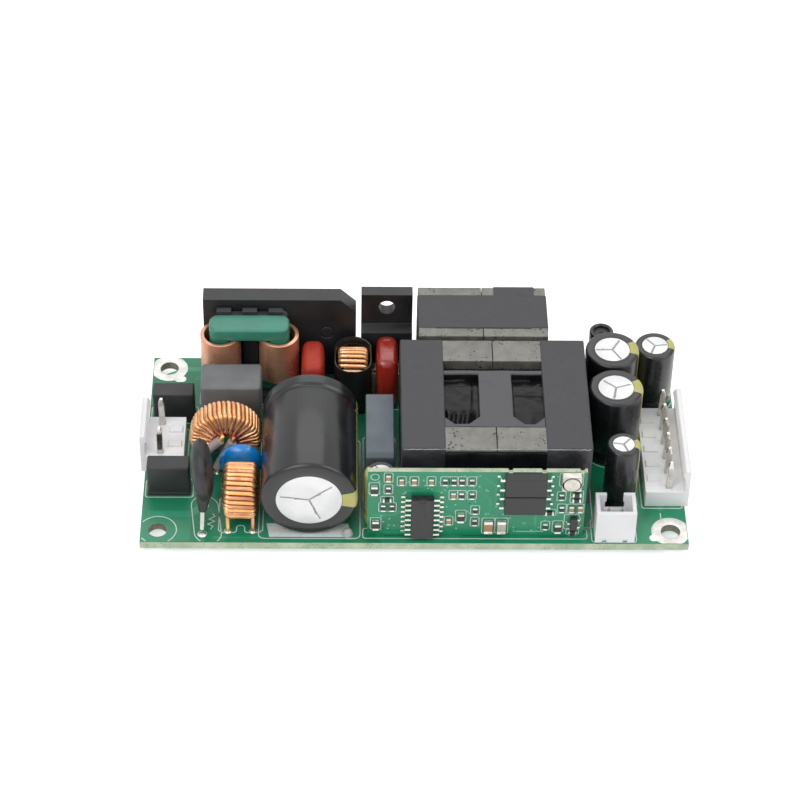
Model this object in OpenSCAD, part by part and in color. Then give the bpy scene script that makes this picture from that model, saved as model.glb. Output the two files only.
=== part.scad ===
// Open-frame AC to DC power supply on a 4 x 2 inch board.
// X runs along the board from the mains side to the output side, Y runs from the front edge,
// which carries the upright control board, to the back edge, and Z is up.
// The origin is the centre of the four mounting holes, on the underside of the board.

/* [Main board] */
// Length of the main board
board_l = 101.6; // [101.6:0.1:112]
// Width of the main board
board_w = 50.8; // [50.8:0.1:56]
// Thickness of the main board
board_t = 1.6; // [1.2:0.1:2.4]
// Diameter of the mounting holes
hole_d = 3.6; // [2.8:0.1:4.2]
// Distance from the board's edges to the mounting holes
hole_inset = 3.175; // [2.8:0.005:3.6]
// Length of trimmed lead left below the board
lead_out = 1.4; // [1.2:0.1:2]

/* [Mains side] */
// Distance between neighbouring posts of the mains and output headers
post_pitch = 3.96; // [3.5:0.01:3.96]
// Height of the header posts above the board
post_h = 10; // [7:0.1:11]
// Height of the header bodies above the board
header_base_h = 3.8; // [2:0.1:4.4]
// Height of the headers' locking walls above the board
lock_h = 9; // [6:0.1:10]
// Length of a fuse along X
fuse_l = 8.1; // [6.5:0.1:8.6]
// Height of a fuse above the board
fuse_h = 7; // [5:0.1:9]
// Diameter of the inrush thermistor's disc
thermistor_d = 12; // [8:0.1:12.4]
// Diameter of the blue varistor
varistor_d = 8.3; // [7:0.1:8.8]
// Width of the mains filter capacitor along X
line_cap_w = 11.5; // [9:0.1:11.9]
// Height of the mains filter capacitor
line_cap_h = 12; // [8:0.1:14]

/* [Toroids] */
// Outer diameter of the large toroid's bare core
big_core_d = 11.8; // [11:0.1:12]
// Diameter of the large toroid's wire
big_wire_d = 0.6; // [0.5:0.02:0.62]
// Turns on the large toroid, each of two strands
big_turns = 17; // [10:1:17]
// Outer diameter of the small toroid's bare core
small_core_d = 9; // [8.4:0.1:9.2]
// Diameter of the small toroids' wire
small_wire_d = 0.6; // [0.5:0.02:0.62]
// Turns on the small toroid, each of two strands
small_turns = 12; // [8:1:12]

/* [Flat-wire choke] */
// Outer diameter of each copper coil
coil_d = 7.8; // [7.2:0.1:8]
// Height of each copper coil
coil_h = 9.6; // [7:0.1:12]
// Turns of flat wire in each coil
coil_turns = 21; // [12:1:24]

/* [Power devices] */
// Width of the bridge rectifier
bridge_w = 29.5; // [26:0.1:29.6]
// Height of the bridge rectifier's top above the board
bridge_h = 19.3; // [16:0.1:21]
// Height of the power transistor's top above the board
transistor_h = 19.7; // [18:0.1:22]
// Width of the power transistor
transistor_w = 9.9; // [9:0.1:10.4]

/* [Capacitors] */
// Diameter of the mains reservoir capacitor
bulk_d = 18; // [16:0.1:18.2]
// Length of the mains reservoir capacitor
bulk_l = 24.7; // [20:0.1:26]
// Height of the two red film capacitors
film_h = 12.7; // [8:0.1:13.5]
// Height of the grey film capacitor
grey_cap_h = 12; // [8:0.1:16]
// Diameter of the two large output capacitors
output_cap_d = 10.3; // [8:0.1:10.4]
// Height of the two large output capacitors
output_cap_h = 16; // [11:0.5:20]

/* [Transformers] */
// Height of the main transformer's top above the board
transformer_h = 19.3; // [18.5:0.1:21]
// Length of the main transformer's core along X
core_l = 34.6; // [33:0.1:34.8]
// Width of the core's outer legs along Y
core_leg = 5.8; // [5:0.1:6.2]
// Height of the back inductor's top above the board
inductor_h = 19.3; // [17:0.1:21]
// Length of the back inductor along X
inductor_l = 24.6; // [22:0.1:25]

/* [Control board] */
// Length of the upright control board
control_l = 40; // [40:0.1:41]
// Height of the upright control board above the main board
control_h = 16.5; // [16.3:0.1:20]
// Thickness of the upright control board
control_t = 1; // [0.8:0.1:1.2]
// Diameter of the trimmer's turning disc
trimmer_d = 3; // [2.4:0.1:3.4]

/* [Hidden] */
$fn = 40;
fit = 0.15;             // clearance round a lead in its hole
left = -board_l / 2;    // left edge of the board
right = board_l / 2;    // right edge of the board
front = -board_w / 2;   // front edge of the board
back = board_w / 2;     // back edge of the board
bt = board_t;           // height of the board's top face
hole_x = board_l / 2 - hole_inset;
hole_y = board_w / 2 - hole_inset;

// Mains header and output header: a nylon body along Y with a locking wall on its outer side
mains_posts = 3;
output_posts = 6;
post_w = 1.14;
header_in = 4.5;        // from the posts to the body's inner side
header_out = 3.7;       // from the posts to the body's outer side
header_end = 1.6;       // from the last post to the body's end
lock_t = 1;
mains_x = left + 2.95;
mains_y = -1.2;
output_x = right - 3.05;
output_y = -4.1;
fan_x = right - 13.8;
fan_y = front + 3.05;
fan_pitch = 2.5;
fan_w = 7.4;
fan_d = 5.7;
fan_h = 7.6;
fan_wall = 0.75;
fan_pin_w = 0.64;

// Places on the board, measured from its edges and centre
fuse_w = 3.8;
fuse_x = left + 4.85;
fuse_front_y = front + 14.1;
fuse_back_y = back - 16.55;
thermistor_x = left + 11.6;
thermistor_y = front + 8.4;
thermistor_z = bt + 10.5;
thermistor_t = 3.7;
thermistor_lean = 6;
thermistor_yaw = 2;
thermistor_lead_x = left + 11.5;
thermistor_lead_y = front + 5.95;
varistor_x = left + 18.4;
varistor_y = front + 15.1;
varistor_z = bt + 2.1 + varistor_d / 2;
varistor_t = 3.3;
line_cap_x = left + 16.1;
line_cap_y = front + 32.5;
line_cap_d = 7.2;
big_w = 3.2;            // width of the large toroid's core
big_id = 7.3;
big_x = left + 15.35;
big_y = front + 22.3;
big_z = bt + 6.6;
small_w = 4.3;
small_id = 6;
small_x = left + 18.55;
small_y = front + 7.7;
small_z = bt + 5.9;
sleeved_x = -11.5;
sleeved_y = back - 10.9;
sleeved_z = bt + 6.7;
sleeved_core_d = small_core_d - 1.2;
sleeve_l = 10.6;        // length of the oval sleeve along Y
sleeve_w = 7.3;
sleeve_t = 0.35;
sleeve_h = 11;           // and how far it stands above the board
sleeve_round = 2.6;      // radius of its corners
choke_x = left + 19.4;
choke_y = back - 9;
choke_base = 2;
choke_bar = 2.7;
choke_depth = 4.9;
choke_l = 15.4;
choke_leg = 4.2;
choke_gap = 0.15;
coil_in_d = 6.2;
coil_z = bt + choke_base + choke_bar + choke_gap;
choke_top = coil_z + coil_h + choke_gap + choke_bar;
bridge_x = left + 25.1;
bridge_y = back - 4.7;  // its flat front face
bridge_t = 3.5;
bridge_foot = 1;        // how much thicker its lower half is
device_gap = 1;          // between the devices of the back row
transistor_x = bridge_x + bridge_w / 2 + device_gap + transistor_w / 2;
transistor_y = back - 1; // its flat back face
transistor_t = 4.6;
tab_t = 2.5;
transistor_body_h = 15.8;
bulk_x = -19.5;
bulk_front = front + 2;
bulk_z = bt + bulk_d / 2;
film_w = 4.5;
film_l = 9.5;
film_left_x = -19.2;
film_left_y = back - 12.25;
film_right_x = -4.95;
film_right_y = back - 10.9;
grey_x = -6.45;
grey_w = 5.3;
grey_front = front + 10.9;
grey_l = 16.9;
small_cap_d = 6.2;
small_cap_h = 12.1;
small_cap_x = -6.3;
small_cap_y = front + 6.5;
core_x = 14.75;
core_w = 29.6;
core_y = front + 20.1;
core_z = bt + 5.2;      // underside of the main core
core_centre_w = 7.4;    // the centre leg along Y
core_centre_h = 6;      // and along Z
core_back = 5.6;        // thickness of the E cores' backs
tape_t = 0.15;
band_left = 8;          // how far the tape covers the left and right ends
band_right = 8.3;
pocket_drop = 1.8;      // depth of the two pockets in the winding's cover
inductor_x = transistor_x + transistor_w / 2 + device_gap + inductor_l / 2;
inductor_w = 14.2;
inductor_y = back - 7.6;
inductor_z = bt + 3;
inductor_leg = 2.3;
big_cap_x = right - 12.85;
rear_cap_y = back - 14.6;
cap_gap = 0.4;          // air between the two large output capacitors
mid_cap_y = rear_cap_y - output_cap_d - cap_gap;
side_cap_x = right - 4.25;
side_cap_y = back - 11.15;
side_cap_d = 7.8;
side_cap_h = 14;
front_cap_x = right - 12.35;
front_cap_y = front + 11.2;
front_cap_d = 6.4;
front_cap_h = 15;
rod_x = right - 14.3;
rod_y = back - 7;
rod_d = 4.7;
rod_h = 14;
control_x = 11.2;
control_y = front + 2;   // front face of the control board
slot_l = 5;

// Lead lists: each entry is x, y and diameter, or x, y, width and depth where the lead is flat
function flat_leads(list, w, d) = [for (p = list) [p[0], p[1], w, d]];
function along_x(x, y, n, pitch, d) = [for (i = [0:n - 1]) [x + (i - (n - 1) / 2) * pitch, y, d]];
function along_y(x, y, n, pitch, d) = [for (i = [0:n - 1]) [x, y + (i - (n - 1) / 2) * pitch, d]];
mains_leads = [for (s = [-1, 1]) [mains_x, mains_y + s * post_pitch, post_w, post_w]];
output_leads = flat_leads(along_y(output_x, output_y, output_posts, post_pitch, 0), post_w, post_w);
fan_leads = flat_leads(along_x(fan_x, fan_y, 2, fan_pitch, 0), fan_pin_w, fan_pin_w);
fuse_front_leads = along_x(fuse_x, fuse_front_y, 2, 5.08, 0.6);
fuse_back_leads = along_x(fuse_x, fuse_back_y, 2, 5.08, 0.6);
thermistor_leads = along_y(thermistor_lead_x, thermistor_lead_y, 2, 7.5, 0.9);
varistor_leads = along_x(varistor_x, varistor_y, 2, 5, 0.6);
line_cap_leads = along_x(line_cap_x, line_cap_y, 2, 7.5, 0.7);
big_leads = [for (q = [[-4.35, -3.7], [-1.65, -3.7], [3.2, 3.4], [4.7, 3.4]])
    [big_x + q[0], big_y + q[1], big_wire_d]];
small_leads = [for (sx = [-1, 1], sy = [-1, 1]) [small_x + sx * 2.3, small_y + sy * 4.7, small_wire_d]];
sleeved_leads = along_y(sleeved_x, sleeved_y, 2, 7.5, small_wire_d);
coil_pin_d = 0.7;
coil_pin_r = coil_d / 2 - 0.4;
coil_leads = [for (sx = [-1, 1], sy = [-1, 1])
    [choke_x + sx * (choke_l - choke_leg) / 2, choke_y + sy * coil_pin_r, coil_pin_d]];
bridge_leads = [for (x = [-12.5, -2.5, 5, 12.5]) [bridge_x + x, bridge_y + bridge_t / 2, 1, 0.7]];
transistor_leads = flat_leads(along_x(transistor_x, transistor_y - 2.6, 3, 2.54, 0), 0.8, 0.5);
bulk_leads = along_x(bulk_x, bulk_front + bulk_l + 2.2, 2, 7.5, 0.8);
film_left_leads = along_y(film_left_x, film_left_y, 2, 7.5, 0.6);
film_right_leads = along_y(film_right_x, film_right_y, 2, 7.5, 0.6);
grey_leads = along_y(grey_x, grey_front + grey_l / 2, 2, 15, 0.7);
core_pins = [for (sx = [-1, 1], p = along_y(core_x + sx * 12, core_y, 5, 4, 0.8)) p];
inductor_pins = [for (sx = [-1, 1], p = along_y(inductor_x + sx * 10.5, inductor_y, 2, 7, 0.8)) p];
cap_places = [
    [big_cap_x, rear_cap_y, output_cap_d, output_cap_h, 30],
    [big_cap_x, mid_cap_y, output_cap_d, output_cap_h, 75],
    [side_cap_x, side_cap_y, side_cap_d, side_cap_h, 20],
    [front_cap_x, front_cap_y, front_cap_d, front_cap_h, 45],
    [small_cap_x, small_cap_y, small_cap_d, small_cap_h, 0]];
function cap_pitch(d) = d > 9 ? 5 : (d > 7 ? 3.5 : 2.5);
cap_leads = [for (c = cap_places, p = along_x(c[0], c[1], 2, cap_pitch(c[2]), 0.6)) p];
rod_leads = along_x(rod_x, rod_y, 2, 2.5, 0.8);
all_leads = concat(mains_leads, output_leads, fan_leads, fuse_front_leads, fuse_back_leads,
    thermistor_leads, varistor_leads, line_cap_leads, big_leads, small_leads, sleeved_leads,
    coil_leads, bridge_leads, transistor_leads, bulk_leads, film_left_leads, film_right_leads,
    grey_leads, core_pins, inductor_pins, cap_leads, rod_leads);
tongues = [for (f = [-0.36, 0, 0.36]) control_x + f * control_l];

// ---------- shared shapes ----------

// Cube from its middle in X and Y and its underside in Z
module block(at, size) {
    translate([at[0] - size[0] / 2, at[1] - size[1] / 2, at[2]]) cube(size);
}

// Rectangle with round corners, and the same as a plate
module round_rect(l, w, r) {
    square([l - 2 * r, w], center = true);
    square([l, w - 2 * r], center = true);
    for (sx = [-1, 1], sy = [-1, 1])
        translate([sx * (l / 2 - r), sy * (w / 2 - r)]) circle(r);
}
module slab(l, w, h, r) {
    linear_extrude(h) round_rect(l, w, r);
}

// Plate drawn in X and Z, its front face at Y = 0, running back
module upright(t) {
    translate([0, t, 0]) rotate([90, 0, 0]) linear_extrude(t) children();
}
// Profile drawn in Y and Z, centred along X
module sideways(w) {
    rotate([90, 0, 90]) linear_extrude(w, center = true) children();
}

// Round bar between two points
module bar(a, b, r) {
    v = b - a;
    translate(a) rotate([0, acos(v[2] / norm(v)), atan2(v[1], v[0])]) cylinder(h = norm(v), r = r);
}

// Disc with a rounded rim, its axis along Z
module disc(d, t) {
    rotate_extrude() {
        translate([0, -t / 2]) square([(d - t) / 2, t]);
        translate([(d - t) / 2, 0]) intersection() {
            circle(d = t);
            translate([0, -t]) square([t, 2 * t]);
        }
    }
}

// A lead from below the board up to the height top
module lead(p, top) {
    if (len(p) > 3)
        block([p[0], p[1], -lead_out], [p[2], p[3], lead_out + top]);
    else
        translate([p[0], p[1], -lead_out]) cylinder(h = lead_out + top, d = p[2]);
}
module leads(list, top) {
    for (p = list) lead(p, top);
}
function lead_round(p) = len(p) > 3 ? norm([p[2], p[3]]) : p[2];

// Solder cone under the board, fitted round its lead
joint_h = 0.9;
module joint(p) {
    difference() {
        translate([p[0], p[1], -joint_h])
            cylinder(h = joint_h, d1 = lead_round(p) + 0.2, d2 = lead_round(p) + 1);
        lead(p, 1);
    }
}

// Wire of round section swept along points, with one side direction for each point
wire_sides = 6;
function unit(v) = v / norm(v);
function wire_axes(path, side, i) =
    let(ahead = path[min(i + 1, len(path) - 1)], behind = path[max(i - 1, 0)],
        t = unit(ahead - behind), u = unit(cross(side[i], t)))
    [u, cross(t, u)];
module wire(path, side, d) {
    n = wire_sides;
    last = len(path) - 1;
    points = [for (i = [0:last]) let(f = wire_axes(path, side, i)) for (j = [0:n - 1])
        path[i] + d / 2 * (cos(360 * j / n) * f[0] + sin(360 * j / n) * f[1])];
    walls = [for (i = [0:last - 1], j = [0:n - 1]) let(a = i * n + j, b = i * n + (j + 1) % n)
        each [[a, b + n, b], [a, a + n, b + n]]];
    ends = [[for (j = [0:n - 1]) j], [for (j = [0:n - 1]) last * n + n - 1 - j]];
    polyhedron(points = points, faces = concat(walls, ends));
}

// One turn of wire on a ring is twelve points, three at each corner of the ring's section.
// A ring is [centre, axis, inner and outer radius, half width at the hole and at the rim, bend]
function ring_point(ring, r, a, w) =
    ring[1] == "x" ? ring[0] + [w, r * cos(a), r * sin(a)] : ring[0] + [r * cos(a), w, r * sin(a)];
function ring_side(ring, a) =
    ring[1] == "x" ? [0, -sin(a), cos(a)] : [-sin(a), 0, cos(a)];
function turn_point(ring, start, step, i) =
    let(corner = floor((i % 12 + 12) % 12 / 3), a = -90 * corner - 45 * ((i + 12) % 3),
        rim = corner == 0 || corner == 3, bend = ring[6],
        r = rim ? ring[3] - bend : ring[2] + bend,
        w = (corner < 2 ? -1 : 1) * ((rim ? ring[5] : ring[4]) - bend))
    ring_point(ring, r + bend * cos(a), start - step * i / 12, w + bend * sin(a));
function turns(ring, start, step, i0, i1) = [for (i = [i0:i1]) turn_point(ring, start, step, i)];
function turn_sides(ring, start, step, i0, i1) =
    [for (i = [i0:i1]) ring_side(ring, start - step * i / 12)];
// The same with straight leads before and after
module wound(ring, start, step, i0, i1, before, after, d) {
    wire(concat(before, turns(ring, start, step, i0, i1), after),
        concat([for (p = before) ring_side(ring, start)], turn_sides(ring, start, step, i0, i1),
            [for (p = after) ring_side(ring, start - step * i1 / 12)]), d);
}

// Bare core of a ring
module ring_core(d, id, w) {
    bevel = 0.5;
    rotate_extrude() polygon([[id / 2 + bevel, -w / 2], [d / 2 - bevel, -w / 2], [d / 2, bevel - w / 2],
        [d / 2, w / 2 - bevel], [d / 2 - bevel, w / 2], [id / 2 + bevel, w / 2],
        [id / 2, w / 2 - bevel], [id / 2, bevel - w / 2]]);
}

// Side of an electrolytic capacitor from its foot to its top edge, crimped at crimp_z
function cap_side(r, h, crimp_z) = [[r, 0], [r, crimp_z - 0.6], [r - 0.45, crimp_z - 0.2],
    [r - 0.45, crimp_z + 0.2], [r, crimp_z + 0.6], [r, h - 0.6], [r - 0.6, h]];
cap_skin = 0.2;         // thickness of an electrolytic capacitor's sleeve
// Aluminium can with three vent grooves in its top
module can(d, h, crimp_z, vent, turn) {
    r = d / 2 - cap_skin;
    difference() {
        rotate_extrude() polygon(concat([[0, 0]], cap_side(r, h - cap_skin, crimp_z), [[0, h - cap_skin]]));
        for (a = [0, 120, 240])
            rotate([0, 0, turn + a]) translate([0, -0.1, h - cap_skin - 0.15]) cube([vent, 0.2, 1]);
    }
}
// Its sleeve, folded over the top edge
module cap_sleeve(d, h, crimp_z, lip) {
    inner = cap_side(d / 2 - cap_skin, h - cap_skin, crimp_z);
    rotate_extrude() polygon(concat(cap_side(d / 2, h, crimp_z), [[d / 2 - lip, h], [d / 2 - lip, h - cap_skin]],
        [for (i = [len(inner) - 1:-1:0]) inner[i]]));
}
crimp = 2.2;
module upright_can(i) {
    c = cap_places[i];
    translate([c[0], c[1], bt]) can(c[2], c[3], crimp, 0.3 * c[2], c[4]);
}
module upright_sleeve(i) {
    c = cap_places[i];
    translate([c[0], c[1], bt]) cap_sleeve(c[2], c[3], crimp, 0.16 * c[2]);
}

// ---------- main board ----------

module main_board() {
    color("seagreen") difference() {
        translate([left, front, 0]) cube([board_l, board_w, bt]);
        for (sx = [-1, 1], sy = [-1, 1])
            translate([sx * hole_x, sy * hole_y, -1]) cylinder(h = bt + 2, d = hole_d);
        for (p = all_leads)
            translate([p[0], p[1], -1]) cylinder(h = bt + 2, d = lead_round(p) + 2 * fit);
        for (x = tongues)
            block([x, control_y + control_t / 2, -1], [slot_l + 2 * fit, control_t + 2 * fit, bt + 2]);
    }
}

module solder_joints() {
    color("silver") for (p = all_leads) joint(p);
}

// ---------- headers ----------

// Body with its inner side towards -X; side turns it round for the mains header
module header_body(x, y, n, side, posts) {
    l = (n - 1) * post_pitch + 2 * header_end;
    barb = 0.5;
    wall = header_out - lock_t;
    difference() {
        translate([x, y - l / 2, bt]) mirror([side < 0 ? 1 : 0, 0, 0]) {
            upright(l) polygon([[-header_in, 0], [header_out, 0], [header_out, lock_h - 0.3],
                [header_out - 0.3, lock_h], [wall, lock_h], [wall - barb, lock_h - 0.8],
                [wall - barb, lock_h - 1.2], [wall, lock_h - 1.9], [wall, header_base_h],
                [-header_in, header_base_h]]);
            for (i = [0:n - 2])
                translate([-header_in + 0.5, header_end + (i + 0.5) * post_pitch - 0.8, header_base_h])
                    cube([2.6, 1.6, 0.3]);
        }
        leads(posts, bt + header_base_h + 1);
    }
}
// Square pin with a tapered tip
module post(p, w, top) {
    tip = 1.2;
    taper = w / 4;
    side = [[-w / 2, -lead_out], [w / 2, -lead_out], [w / 2, top - tip], [w / 2 - taper, top],
        [taper - w / 2, top], [-w / 2, top - tip]];
    translate([p[0], p[1], 0]) intersection() {
        translate([0, -w / 2, 0]) upright(w) polygon(side);
        sideways(w) polygon(side);
    }
}
module input_header() {
    color("white") header_body(mains_x, mains_y, mains_posts, -1, mains_leads);
}
module input_pins() {
    color("silver") for (p = mains_leads) post(p, post_w, bt + post_h);
}
module output_header() {
    color("white") header_body(output_x, output_y, output_posts, 1, output_leads);
}
module output_pins() {
    color("silver") for (p = output_leads) post(p, post_w, bt + post_h);
}
fan_floor = 2.2;
module fan_header() {
    color("white") translate([fan_x, fan_y, bt]) difference() {
        block([0, 0, 0], [fan_w, fan_d, fan_h]);
        block([0, 0, fan_floor], [fan_w - 2 * fan_wall, fan_d - 2 * fan_wall, fan_h]);
        // keyhole cut in the back wall
        block([0, fan_d / 2, 3.9], [3.6, 3 * fan_wall, 1.9]);
        block([0, fan_d / 2, 5.7], [3.1, 3 * fan_wall, fan_h]);
        // notches at the foot of the front wall
        for (s = [-1, 1]) block([s * 1.9, -fan_d / 2, -1], [0.8, 0.8, 1.8]);
        translate([-fan_x, -fan_y, -bt]) leads(fan_leads, bt + fan_floor + 1);
    }
}
module fan_pins() {
    color("silver") for (p = fan_leads) post(p, fan_pin_w, bt + 6.4);
}

// ---------- mains side ----------

module fuse(y) {
    color("dimgray") translate([fuse_x, y, bt]) slab(fuse_l, fuse_w, fuse_h, 0.4);
}
module fuse_front() {
    fuse(fuse_front_y);
}
module fuse_rear() {
    fuse(fuse_back_y);
}

// Leaning disc with two necks; each neck ends in line with its lead's first bend
thermistor_c = [thermistor_x, thermistor_y, thermistor_z];
neck_r = 1;
neck_l = 3.2;             // from a neck's root inside the disc to its end
function neck_root(s) = thermistor_c + [0.2, -0.6 + 2.6 * s, -3.4];
function lead_knee(s) = [thermistor_lead_x, thermistor_lead_y + 3.75 * s, bt + 1.5];
function neck_end(s) = neck_root(s) + neck_l * unit(lead_knee(s) - neck_root(s));
module thermistor() {
    color("black") {
        translate(thermistor_c) rotate([0, 0, thermistor_yaw]) rotate([0, 90 - thermistor_lean, 0])
            disc(thermistor_d, thermistor_t);
        for (s = [-1, 1]) bar(neck_root(s), neck_end(s), neck_r);
    }
}
varistor_neck = bt + 1;
module varistor() {
    color("royalblue") {
        translate([varistor_x, varistor_y, varistor_z]) rotate([90, 0, 0]) disc(varistor_d, varistor_t);
        for (p = varistor_leads)
            translate([p[0], p[1], varistor_neck]) cylinder(h = 2.6, d = 1.3);
    }
}
module line_capacitor() {
    color("gray") translate([line_cap_x, line_cap_y, bt]) slab(line_cap_w, line_cap_d, line_cap_h, 0.5);
}

// Large toroid: upright ring, its axis along Y, two strands that cross at the hole
ring_gap = 0.06;        // air between a core and the wire on it
big_c = [big_x, big_y, big_z];
big_turn = 16.4;        // degrees from one turn to the next
big_start = 230;
strand_lift = 0.45;     // how far the second strand stands off at the hole
function strand_ring(c, axis, d, id, w, wire_d, second) = [c, axis,
    id / 2 - wire_d / 2 - ring_gap - (second ? wire_d + 0.08 : 0), d / 2 + wire_d / 2 + ring_gap,
    w / 2 + wire_d / 2 + ring_gap + (second ? strand_lift : 0), w / 2 + wire_d / 2 + ring_gap, wire_d * 0.8];
function foot(p) = [[p[0], p[1], -lead_out], [p[0], p[1], bt + 0.7]];
sleeve_y = -3.7;        // the sleeved leads stand this far in front of the ring's centre
sleeve_tops = [[-0.9, sleeve_y, 1.7], [1.35, sleeve_y, 1.3]];
lead_bend = [-3.3, sleeve_y, -0.9];
module filter_toroid_core() {
    color("green") translate(big_c) rotate([90, 0, 0]) ring_core(big_core_d, big_id, big_w);
}
module filter_toroid_winding() {
    last = 12 * big_turns + 9;
    color("gold") {
        wound(strand_ring(big_c, "y", big_core_d, big_id, big_w, big_wire_d, false), big_start, big_turn, 7, last,
            concat(foot(big_leads[0]), [big_c + lead_bend, big_c + sleeve_tops[0],
                big_c + [-0.6, -3, 2.1], big_c + [-0.65, -1.6, 1.5]]),
            [[big_leads[2][0], big_leads[2][1], bt + 0.7], [big_leads[2][0], big_leads[2][1], -lead_out]],
            big_wire_d);
        wound(strand_ring(big_c, "y", big_core_d, big_id, big_w, big_wire_d, true), big_start - big_turn / 2,
            big_turn, 7, last,
            concat(foot(big_leads[1]), [big_c + sleeve_tops[1], big_c + [1.3, -3, 1.7], big_c + [0.8, -1.6, 1.1]]),
            [[big_leads[3][0], big_leads[3][1], bt + 0.7], [big_leads[3][0], big_leads[3][1], -lead_out]],
            big_wire_d);
    }
}
module filter_toroid_sleeves() {
    sleeve_r = 0.9;
    bore_r = big_wire_d / 2 + 0.1;
    foot_z = bt + 1.2;
    color("rosybrown") difference() {
        union() {
            bar([big_leads[0][0], big_leads[0][1], foot_z], big_c + lead_bend, sleeve_r);
            translate(big_c + lead_bend) sphere(r = sleeve_r);
            bar(big_c + lead_bend, big_c + sleeve_tops[0], sleeve_r);
            bar([big_leads[1][0], big_leads[1][1], foot_z], big_c + sleeve_tops[1], sleeve_r);
        }
        for (i = [0, 1])
            translate([big_leads[i][0], big_leads[i][1], bt - 1]) cylinder(h = 2, r = bore_r);
        bar([big_leads[0][0], big_leads[0][1], bt + 0.7], big_c + lead_bend, bore_r);
        translate(big_c + lead_bend) sphere(r = bore_r);
        bar(big_c + lead_bend, big_c + sleeve_tops[0] + [0.3, 0, 0.325], bore_r);
        bar([big_leads[1][0], big_leads[1][1], bt + 0.7], big_c + sleeve_tops[1] + [0.1, 0, 0.25], bore_r);
    }
}

// Small toroid: upright ring, its axis along X
small_c = [small_x, small_y, small_z];
small_turn = 20.6;
small_start = 223;
module small_toroid_core() {
    color("green") translate(small_c) rotate([0, 90, 0]) ring_core(small_core_d, small_id, small_w);
}
module small_toroid_winding() {
    last = 12 * small_turns;
    color("gold") {
        wound(strand_ring(small_c, "x", small_core_d, small_id, small_w, small_wire_d, false), small_start,
            small_turn, 1, last + 1, foot(small_leads[0]), [foot(small_leads[1])[1], foot(small_leads[1])[0]],
            small_wire_d);
        wound(strand_ring(small_c, "x", small_core_d, small_id, small_w, small_wire_d, true),
            small_start - small_turn / 2, small_turn, -2, last - 2,
            foot(small_leads[2]), [foot(small_leads[3])[1], foot(small_leads[3])[0]], small_wire_d);
    }
}

// Choke on a rectangular core, standing in a plastic carrier
choke_leg_x = (choke_l - choke_leg) / 2;
leg_round = 1.3;
module choke_core() {
    bottom = bt + choke_base;
    color("green") translate([choke_x, choke_y, 0]) {
        translate([0, 0, bottom]) slab(choke_l, choke_depth, choke_bar, leg_round);
        translate([0, 0, choke_top - choke_bar]) slab(choke_l, choke_depth, choke_bar, leg_round);
        for (s = [-1, 1])
            translate([s * choke_leg_x, 0, bottom + choke_bar / 2])
                slab(choke_leg, choke_depth, choke_top - bottom - choke_bar, leg_round);
    }
}
module choke_coil(s) {
    pitch = coil_h / coil_turns;
    r = coil_d / 2;
    groove = 0.15;
    color("chocolate") translate([choke_x + s * choke_leg_x, choke_y, coil_z])
        rotate_extrude() polygon(concat([[coil_in_d / 2, 0]],
            [for (i = [0:coil_turns - 1]) each [[r - groove, i * pitch], [r, (i + 0.3) * pitch],
                [r, (i + 0.7) * pitch]]], [[r - groove, coil_h], [coil_in_d / 2, coil_h]]));
}
module choke_coil_left() {
    choke_coil(-1);
}
module choke_coil_right() {
    choke_coil(1);
}
module choke_carrier() {
    wall_y = choke_y + 3.4;
    rail_z = bt + choke_base + choke_bar + 2 * choke_gap + coil_h + 0.2;
    color("gray") {
        difference() {
            block([choke_x, choke_y, bt], [choke_l + 3.4, 8.2, choke_base]);
            for (p = coil_leads) translate([p[0], p[1], 0]) cylinder(h = 9, d = p[2] + 2 * fit);
        }
        block([choke_x, wall_y, bt], [2.8, 1.2, rail_z - bt + 1.5]);
        block([choke_x, wall_y, rail_z], [12.6, 1.2, 1.9]);
        for (s = [-1, 0, 1])
            block([choke_x + 5 * s, wall_y, rail_z], [2.8, 1.2, 2.8]);
    }
}

// ---------- power devices ----------

module bridge_rectifier() {
    corner = 3;
    foot_z = bt + 0.4;
    h = bridge_h - 0.4;
    color("black") translate([bridge_x, bridge_y, foot_z]) difference() {
        union() {
            upright(bridge_t) polygon([[-bridge_w / 2, 0], [bridge_w / 2, 0], [bridge_w / 2, h - corner],
                [bridge_w / 2 - corner, h], [-bridge_w / 2, h]]);
            block([0, bridge_t + bridge_foot / 2 - 0.5, 0], [bridge_w, bridge_foot + 1, 9]);
        }
        translate([0, -1, h - 4]) rotate([-90, 0, 0]) cylinder(h = bridge_t + 2, d = 3.2);
        // ring left by a mould pin
        translate([9.1, 0.15, h - 8.2]) rotate([90, 0, 0]) difference() {
            cylinder(h = 1, d = 3.1);
            translate([0, 0, -1]) cylinder(h = 3, d = 2.3);
        }
    }
}
module power_transistor() {
    top = transistor_body_h;
    step_z = top - 7.3;
    color("black") translate([transistor_x, transistor_y, bt + transistor_h - top]) difference() {
        sideways(transistor_w) polygon([[-transistor_t, 0], [0, 0], [0, top], [-tab_t, top],
            [-tab_t, step_z], [-transistor_t, step_z - 0.6]]);
        translate([0, 1, top - 3.2]) rotate([90, 0, 0]) cylinder(h = 9, d = 3.2);
    }
}

// ---------- capacitors ----------

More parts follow.
